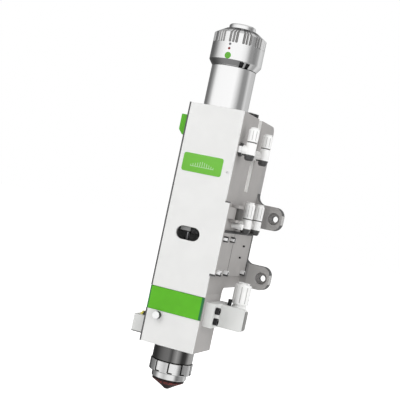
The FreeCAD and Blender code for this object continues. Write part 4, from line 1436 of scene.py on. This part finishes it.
@dataclass
class ElbowFitting:
    """A push-in elbow: nickel hexagon, swivelling white elbow and its release ring.

    Attributes:
        name: start of the names of its CAD nodes and bodies.
        seat: middle of the hexagon's foot, mm about the beam axis.
        reach: from the seat to the port's axis.
        size: scale against the water fittings; it also scales seam and rise.
        tube: radius of the tube that goes in.
        seam: height of the seam ring above the seat.
        rise: height of the sleeve's top above the seat.
        girth: width of the sleeve against the elbow's.
        dark_seam: whether the seam ring is black.
        across_flats: size of the hexagon.
        hexagon_high: from the hexagon's foot to its face.
        boss_high: from the hexagon's foot to the boss's face.
        ribs: number of ribs round the sleeve.
        rib_depth: depth of the channels between the ribs.
    """

    name: str
    seat: Point
    reach: float = 11.0
    size: float = 1.0
    tube: float = 3.0
    seam: float = 8.4
    rise: float = 22.0
    girth: float = 1.0
    dark_seam: bool = True
    across_flats: float = 12.0
    hexagon_high: float = 3.0
    boss_high: float = 3.3
    ribs: int = 9
    rib_depth: float = 0.32

    def build(self) -> None:
        """Make the three pieces."""
        self._base()
        self._elbow()
        self._collet()

    @property
    def axis_x(self) -> float:
        """Distance of the port's axis from the beam plane."""
        return self.seat[0] + self.reach

    def _base(self) -> None:
        """Hexagon with a round collar on top and a short spigot."""
        flats = hexagon_outline(self.across_flats * self.size)
        body = slab(flats, 0.0, self.hexagon_high, 0.35, Axis.RIGHT, self.seat)
        boss = button(5.0 * self.size, 2.4, self.boss_high, 0.2, 48, self.seat, Axis.RIGHT, 3)
        Piece.build(self.name + "_hexagon", [body, boss], [Finishes.hexagon], "head",
                    [self.name + "_base"], "steel")

    def _elbow(self) -> None:
        """Lower elbow with a black domed heel cap of painted shadow, a seam ring and a ribbed
        sleeve above it.

        The sleeve's radius falls by a small depth where a cosine round the turn is low, which
        leaves flat ribs with narrow channels.
        """
        _, y, z = self.seat
        size = self.size
        port = (self.axis_x, y, z)
        arm_low = self.seat[0] + self.boss_high + 0.1
        radius, arm = 5.3 * size, 5.2 * size
        seam = self.seam * size
        lower = button(radius, -6.0 * size, seam, 1.5 * size, 56, port, steps=5)
        across = button(arm, arm_low, self.axis_x, 0.6 * size, 48, (0.0, y, z), Axis.RIGHT)
        ring = turned(ring_profile(self.tube, radius - 0.7 * size, seam - 0.2, seam + 1.0, 0.1),
                      48, Axis.UP, port,
                      bands=lambda a, h, r: np.full_like(h, float(self.dark_seam)))
        top = self.rise * size
        wide, bore, foot = radius * self.girth, self.tube + 1.15, seam + 0.8
        sleeve = densified(softened([(bore, foot), (wide, foot), (wide, top - 1.2 * size),
                                     (wide - 0.5 * size, top), (bore, top)], 0.4), 1.2, seam, top)
        outer = (sleeve[:, 0] > wide - 0.3)[:, None]
        # Painted shadow: a black dome under the elbow in place of the shade beneath it.
        heel_shadow_dome = size * np.array([(0.0, -9.4), (3.4, -9.4), (4.7, -7.6), (4.7, -5.4), (0.0, -5.4)])
        heel_shadow_cap = turned(softened(heel_shadow_dome, 0.9 * size, 4, closed=False), 56, Axis.UP, port,
                          closed=False, bands=lambda a, h, r: np.ones_like(h))

        def channels(angle: Array, height: Array) -> Array:
            """Cut narrow channels between the ribs, fading at both ends of the sleeve.

            Args:
                angle: angles round the sleeve.
                height: heights, mm.

            Returns:
                Depth of the cut.
            """
            wave = np.clip(np.cos(angle * self.ribs) * 5.0 - 4.0, 0.0, 1.0)
            start = np.clip((height - seam - 1.6) / 0.8, 0, 1)
            ends = start * np.clip((top - 1.6 * size - height) / 0.8, 0, 1)
            return self.rib_depth * size * wave * ends * outer

        def shaded(angle: Array, height: Array, reach: Array) -> Array:
            """Paint shade into the middle of each channel.

            Args:
                angle: angles of the faces.
                height: their heights, mm.
                reach: their radii, mm.

            Returns:
                Number of each face's finish.
            """
            inside = (np.cos(angle * self.ribs) > 0.9) & (reach > wide - 0.5)
            ends = (height > seam + 2.0) & (height < top - 1.8 * size)
            return np.where(inside & ends, 2, 0)

        ribbed = turned(sleeve, 168, Axis.UP, port, relief=channels, bands=shaded)
        Piece.build(self.name + "_white_elbow", [lower, across, ring, ribbed, heel_shadow_cap],
                    [Finishes.fitting, Finishes.fitting_seam_and_heel_shade, Finishes.channel_shade],
                    self.name + "_swivel", [self.name + "_elbow"], "white_plastic")

    def _collet(self) -> None:
        """The release ring: a thin sleeve with a flange that stands above the port."""
        _, y, z = self.seat
        top = self.rise * self.size + 1.5
        bore, wall = self.tube + 0.1, self.tube + 1.1
        rim, under = wall + 0.6, top - 0.42
        corners = [(bore, top - 5.0), (wall, top - 5.0), (wall, under), (rim, under),
                   (rim, top), (bore, top)]
        patch = turned(softened(corners, 0.15), 64, Axis.UP, (self.axis_x, y, z))
        Piece.build(self.name + "_release_ring", [patch], [Finishes.fitting],
                    self.name + "_release", [self.name + "_collet"], "white_plastic")


@dataclass
class FrontPanel:
    """Printed label on the cover, and the knob that locks the lower drawer."""

    front_y: float = -27.0
    label_centre: Span = (-2.0, 228.0)
    label_size: Span = (42.0, 18.4)
    label_thickness: float = 0.25
    label_corner: float = 2.4
    knob_centre: Span = (-14.9, 73.7)
    knob_radius: float = 3.9
    knob_length: float = 6.0
    shank: Span = (2.0, -10.0)
    knurls: int = 16

    def build(self) -> None:
        """Make the label and the lock knob."""
        self._label()
        self._knob()

    def _label(self) -> None:
        """A thin film with round corners, just proud of the cover."""
        outline = rounded_rectangle(*self.label_size, self.label_corner)
        centre = (self.label_centre[0], self.front_y, self.label_centre[1])
        patch = slab(outline, -0.05, self.label_thickness, 0.1, Axis.FRONT, centre)
        Piece.build("printed_label", [patch], [Finishes.label], "head", slot="green_plastic")

    def _knob(self) -> None:
        """Knurled knob: the rim's radius falls where a cosine round the turn is low."""
        x, z = self.knob_centre
        length = self.knob_length
        shank, low = self.shank
        corners = [(0.0, low), (shank, low), (shank, 0.1), (self.knob_radius, 0.1),
                   (self.knob_radius, length), (0.0, length)]
        profile = densified(softened(corners, 0.45, closed=False), 0.5, 0.4, length)
        rim = (profile[:, 0] > self.knob_radius - 0.3)[:, None]

        def knurl(angle: Array, height: Array) -> Array:
            """Narrow channels along the rim."""
            wave = np.clip(np.cos(angle * self.knurls) * 1.6 - 0.6, 0.0, 1.0)
            return 0.4 * wave * rim * np.clip((height - 0.9) / 0.4, 0, 1)

        # Painted highlight and shade: the face takes the white finish and the knurled side the
        # near-black one.
        patch = turned(profile, 160, Axis.FRONT, (x, self.front_y, z), relief=knurl, closed=False,
                       bands=lambda a, h, r: (h < length - 0.25).astype(int))
        Piece.build("drawer_knob", [patch], [Finishes.knob_face_highlight, Finishes.knob_side_shade],
                    "lock_knob", ["drawer_lock_knob"], "chromed")


@dataclass
class SmallParts:
    """Screws and pins of the side covers, top cap, side stub and sensor plug."""

    cover_face: float = 34.0
    screws: tuple[Span, ...] = (  # depth and height of each
        (-21.0, 127.0), (1.5, 127.0), (-21.0, 161.0), (1.5, 161.0), (58.0, 127.0))
    head_radius: float = 2.9
    head_length: float = 4.4
    hexagon_radius: float = 1.7
    hexagon_depth: float = 2.0
    shank: Span = (1.9, -3.5)
    pins: tuple[Span, ...] = ((47.6, 155.3), (41.5, 143.2))
    pin_radius: float = 1.05
    pin_length: float = 1.7
    cap_centre: Point = (16.0, 42.0, 287.0)
    cap_radius: float = 6.4
    cap_height: float = 6.6
    cap_foot: float = 3.9
    plug_centre: Point = (-37.0, -4.0, 68.8)
    plug_radius: float = 4.1
    plug_height: float = 2.0
    stub_centre: Point = (30.0, 7.5, 175.2)
    stub_radius: float = 2.9
    stub_length: float = 11.5

    def build(self) -> None:
        """Make the five pieces."""
        heads = [self._screw(y, z) for y, z in self.screws]
        Piece.build("side_cover_screws", heads, [Finishes.side_screw, Finishes.black_metal_and_shade],
                    "head", ["side_screws"], "steel")
        # Painted shade: black pins where the side cover shows two small dark holes.
        pins = [button(self.pin_radius, -1.0, self.pin_length, 0.3, 32, (self.cover_face, y, z),
                       Axis.RIGHT) for y, z in self.pins]
        Piece.build("side_cover_pins", pins, [Finishes.black_metal_and_shade], "head", slot="black_screw")
        cap = button(self.cap_radius, -0.2, self.cap_height, 0.9, 72, self.cap_centre,
                     bands=lambda a, h, r: h < self.cap_foot)
        Piece.build("housing_top_cap", [cap], [Finishes.cap_white, Finishes.black_plastic], "head",
                    slot="white_plastic")
        plug = button(self.plug_radius, -0.3, self.plug_height, 0.6, 64, self.plug_centre)
        Piece.build("sensor_plug", [plug], [Finishes.plug], "head", slot="black_plastic")
        stub = button(self.stub_radius, -0.5, self.stub_length, 0.7, 56, self.stub_centre,
                      Axis.RIGHT)
        Piece.build("side_port_stub", [stub], [Finishes.cap_white], "head", slot="white_plastic")

    def _screw(self, y: float, z: float) -> Patch:
        """A cap screw's head and shank with a hexagonal recess.

        The recess's wall stands at apothem / cos(b), with b the angle from the nearest flat.

        Args:
            y: place along the cover.
            z: height of its axis.

        Returns:
            The closed surface.
        """
        length, mouth, (shank, low) = self.head_length, self.hexagon_radius, self.shank
        floor = length - self.hexagon_depth
        corners = [(0.0, low), (shank, low), (shank, 0.0), (self.head_radius, 0.0),
                   (self.head_radius, length), (mouth, length), (mouth, floor), (0.0, floor)]
        profile = softened(corners, 0.2, 2, closed=False)
        wall = ((profile[:, 0] < mouth + 0.25) & (profile[:, 0] > mouth - 0.3)
                & (profile[:, 1] > floor - 0.3))[:, None]

        def recess(angle: Array, height: Array) -> Array:
            """Distance from the round mouth to the hexagon's flats."""
            beside = angle % (math.pi / 3) - math.pi / 6
            return (mouth - mouth * math.cos(math.pi / 6) / np.cos(beside)) * wall

        # Painted shade: the hexagonal recess is lined with the black finish.
        return turned(profile, 48, Axis.RIGHT, (self.cover_face, y, z), relief=recess,
                      closed=False, bands=lambda a, h, r: (r < mouth) & (h > 1.0))


@dataclass
class Dressing:
    """Gives every carried-over CAD node its finish."""

    groups: tuple[tuple[Finish, str], ...] = (
        (Finishes.body, "main_housing adapter_block side_module rear_side_cover"),
        (Finishes.cover, "front_cover"), (Finishes.plate, "mounting_plate"),
        (Finishes.block, "window_block"), (Finishes.gas, "gas_block gas_panel connector_box"),
        (Finishes.pane, "focus_window"), (Finishes.pin, "cover_screw"),
        (Finishes.inner, "collimator_cell upper_drawer drawer_tray"),
        (Finishes.glass, "collimating_lens upper_window focus_lens protective_window"),
        (Finishes.rubber, "upper_seal window_seal"), (Finishes.green, "upper_drawer_handle"),
        (Finishes.drawer, "drawer_front"), (Finishes.carriage, "lens_carriage"),
        (Finishes.scale, "focus_scale"), (Finishes.board, "control_board"),
        (Finishes.rods, "guide_rod_left guide_rod_right lead_screw"),
        (Finishes.black_plastic, "focus_motor"), (Finishes.side_knob, "adjusting_knob"),
        (Finishes.plug, "sensor_socket"),
        (Finishes.black_metal_and_shade, "gas_plug gas_block_screws plate_screws"))

    def dress(self, nodes: dict[str, bpy.types.Object]) -> None:
        """Assign the materials; nodes outside the groups are replaced by finer pieces.

        Args:
            nodes: CAD nodes by name.
        """
        finishes = {name: finish for finish, names in self.groups for name in names.split()}
        for name, node in nodes.items():
            node.data.materials.clear()
            node.data.materials.append(finishes.get(name, Finishes.fitting).material())


@dataclass
class Studio:
    """Camera, floor, world and soft lamps."""

    camera_place: Point = (0.30934, -0.95248, 0.03615)
    azimuth: float = 20.07
    roll: float = 12.03
    lens: float = 81.78
    floor_height: float = -0.30
    ambient: float = 0.62
    mirrored: float = 1.05
    target: Point = (0.0, -0.07, 0.02)
    lamps: tuple[tuple[str, Point, Span, float], ...] = (
        ("key_front_left", (-0.75, -1.55, 1.05), (1.3, 1.6), 14.0),
        ("fill_front_right", (1.25, -1.25, 0.35), (0.9, 1.6), 4.0),
        ("side_right", (1.60, -0.35, 0.45), (1.2, 1.6), 11.0),
        ("top", (0.2, 0.1, 1.7), (1.4, 1.4), 9.0))

    def build(self) -> None:
        """Set up everything round the head."""
        bpy.context.scene.view_settings.view_transform = "Standard"
        self._camera()
        self._world()
        self._floor()
        for lamp in self.lamps:
            self._lamp(*lamp)

    def _camera(self) -> None:
        """A level camera, rolled about its own axis as in the photograph."""
        azimuth, roll = math.radians(self.azimuth), math.radians(self.roll)
        back = Vector((math.sin(azimuth), -math.cos(azimuth), 0.0))
        right = Vector((math.cos(azimuth), math.sin(azimuth), 0.0))
        up = Vector((0.0, 0.0, 1.0))
        across = right * math.cos(roll) + up * math.sin(roll)
        rise = up * math.cos(roll) - right * math.sin(roll)
        data = bpy.data.cameras.new("camera")
        data.lens = self.lens
        data.sensor_width = 36.0
        data.clip_start = 0.05
        data.clip_end = 50.0
        camera = bpy.data.objects.new("camera", data)
        turn = Matrix((across, rise, back)).transposed().to_4x4()
        camera.matrix_world = Matrix.Translation(self.camera_place) @ turn
        bpy.context.scene.collection.objects.link(camera)
        bpy.context.scene.camera = camera

    def _world(self) -> None:
        """White for the camera; for light and gloss, a room of pale screens with dark gaps."""
        world = bpy.data.worlds.new("studio")
        world.use_nodes = True
        bpy.context.scene.world = world
        graph = Graph(world.node_tree)
        direction = graph.add("ShaderNodeTexCoord", out="Generated")
        x, y, z = graph.axes(direction)
        share = x.arctan2(0.0 - y) / (2 * math.pi) + 0.5
        room = graph.add("ShaderNodeValToRGB", {"stops": (
            (0.00, 0.50), (0.06, 0.22), (0.20, 0.18), (0.26, 0.40), (0.31, 0.92), (0.36, 1.0),
            (0.60, 1.0), (0.66, 0.85), (0.715, 0.26), (0.78, 0.30), (0.825, 0.80), (0.95, 0.72),
            (1.00, 0.50))}, {"Fac": share})
        tone = graph.mixed(z.ramp(0.25, 0.95), room, grey(0.62))
        soft = graph.add("ShaderNodeBackground", {}, {"Color": tone, "Strength": self.ambient})
        sharp = graph.add("ShaderNodeBackground", {}, {"Color": tone, "Strength": self.mirrored})
        gloss = graph.add("ShaderNodeLightPath", out="Is Glossy Ray")
        light = graph.add("ShaderNodeMixShader", {}, {0: gloss, 1: soft, 2: sharp})
        white = graph.add("ShaderNodeBackground", {}, {"Color": grey(1.0), "Strength": 1.0})
        seen = graph.add("ShaderNodeLightPath", out="Is Camera Ray")
        both = graph.add("ShaderNodeMixShader", {}, {0: seen, 1: light, 2: white})
        graph.add("ShaderNodeOutputWorld", {}, {"Surface": both})

    def _floor(self) -> None:
        """A wide pale floor under the hanging head, bright to the camera but for its shadow."""
        mesh = bpy.data.meshes.new("floor")
        reach, z = 9.0, self.floor_height
        mesh.from_pydata([(-reach, -reach, z), (reach, -reach, z), (reach, reach, z),
                          (-reach, reach, z)], [], [(0, 1, 2, 3)])
        made = bpy.data.materials.new("pale_floor")
        made.use_nodes = True
        graph = Graph(made.node_tree)
        seen = graph.add("ShaderNodeLightPath", out="Is Camera Ray")
        lift = graph.add("ShaderNodeEmission", {}, {"Color": grey(1.0), "Strength": 0.8})
        none = graph.add("ShaderNodeEmission", {}, {"Strength": 0.0})
        glow = graph.add("ShaderNodeMixShader", {}, {0: seen, 1: none, 2: lift})
        place = graph.millimetres()
        tone = graph.mixed(graph.noise(place, 0.01, 2.0), grey(0.84), grey(0.86))
        matt = graph.add("ShaderNodeBsdfPrincipled", {}, {
            "Base Color": tone, "Roughness": 0.9, "Specular IOR Level": 0.1})
        both = graph.add("ShaderNodeAddShader", {}, {0: matt, 1: glow})
        graph.add("ShaderNodeOutputMaterial", {}, {"Surface": both})
        mesh.materials.append(made)
        floor = bpy.data.objects.new("floor", mesh)
        floor.visible_glossy = False
        bpy.context.scene.collection.objects.link(floor)

    def _lamp(self, name: str, place: Point, size: Span, power: float) -> None:
        """Add one soft lamp that faces the middle of the head.

        Args:
            name: lamp's name.
            place: its place, metres.
            size: width and height, metres.
            power: watts.
        """
        data = bpy.data.lights.new(name, "AREA")
        data.shape = "RECTANGLE"
        data.size, data.size_y = size
        data.energy = power
        lamp = bpy.data.objects.new(name, data)
        lamp.location = place
        lamp.visible_glossy = False
        aim = Vector(self.target) - Vector(place)
        lamp.rotation_euler = aim.to_track_quat("-Z", "Y").to_euler()
        bpy.context.scene.collection.objects.link(lamp)


GROOVE_Y = 26.7 + 12.9 / 2  # middle of the housing's groove, where a fitting stands
GAS_SIZE = 1.42  # size of the gas fitting against the water fittings
GAS_Y = 2.0 + 9.0 + 0.35 + 12.0 * GAS_SIZE / 2  # behind the gas panel by half a hexagon
FITTINGS = (
    ElbowFitting("water_front", (29.0, -16.0, 250.0)),
    ElbowFitting("water_groove", (24.0, GROOVE_Y, 250.0), 16.0),
    ElbowFitting("water_middle", (29.0, 22.0, 178.0), seam=5.9),
    ElbowFitting("water_rear", (29.0, 57.0, 178.0), seam=5.9),
    ElbowFitting("gas", (38.5, GAS_Y, 86.0), 12.9, GAS_SIZE, 5.0, rise=23.2, girth=1.14,
                 dark_seam=False))


def main() -> None:
    """Build the studio, dress the CAD nodes, then add the finer pieces."""
    Studio().build()
    Dressing().dress(frame["nodes"])
    for part in (Receiver(), NozzleEnd(), FrontPanel(), *FITTINGS, SmallParts()):
        part.build()


if __name__ == "__main__":
    logging.basicConfig(level=logging.INFO, format="%(message)s")
    main()
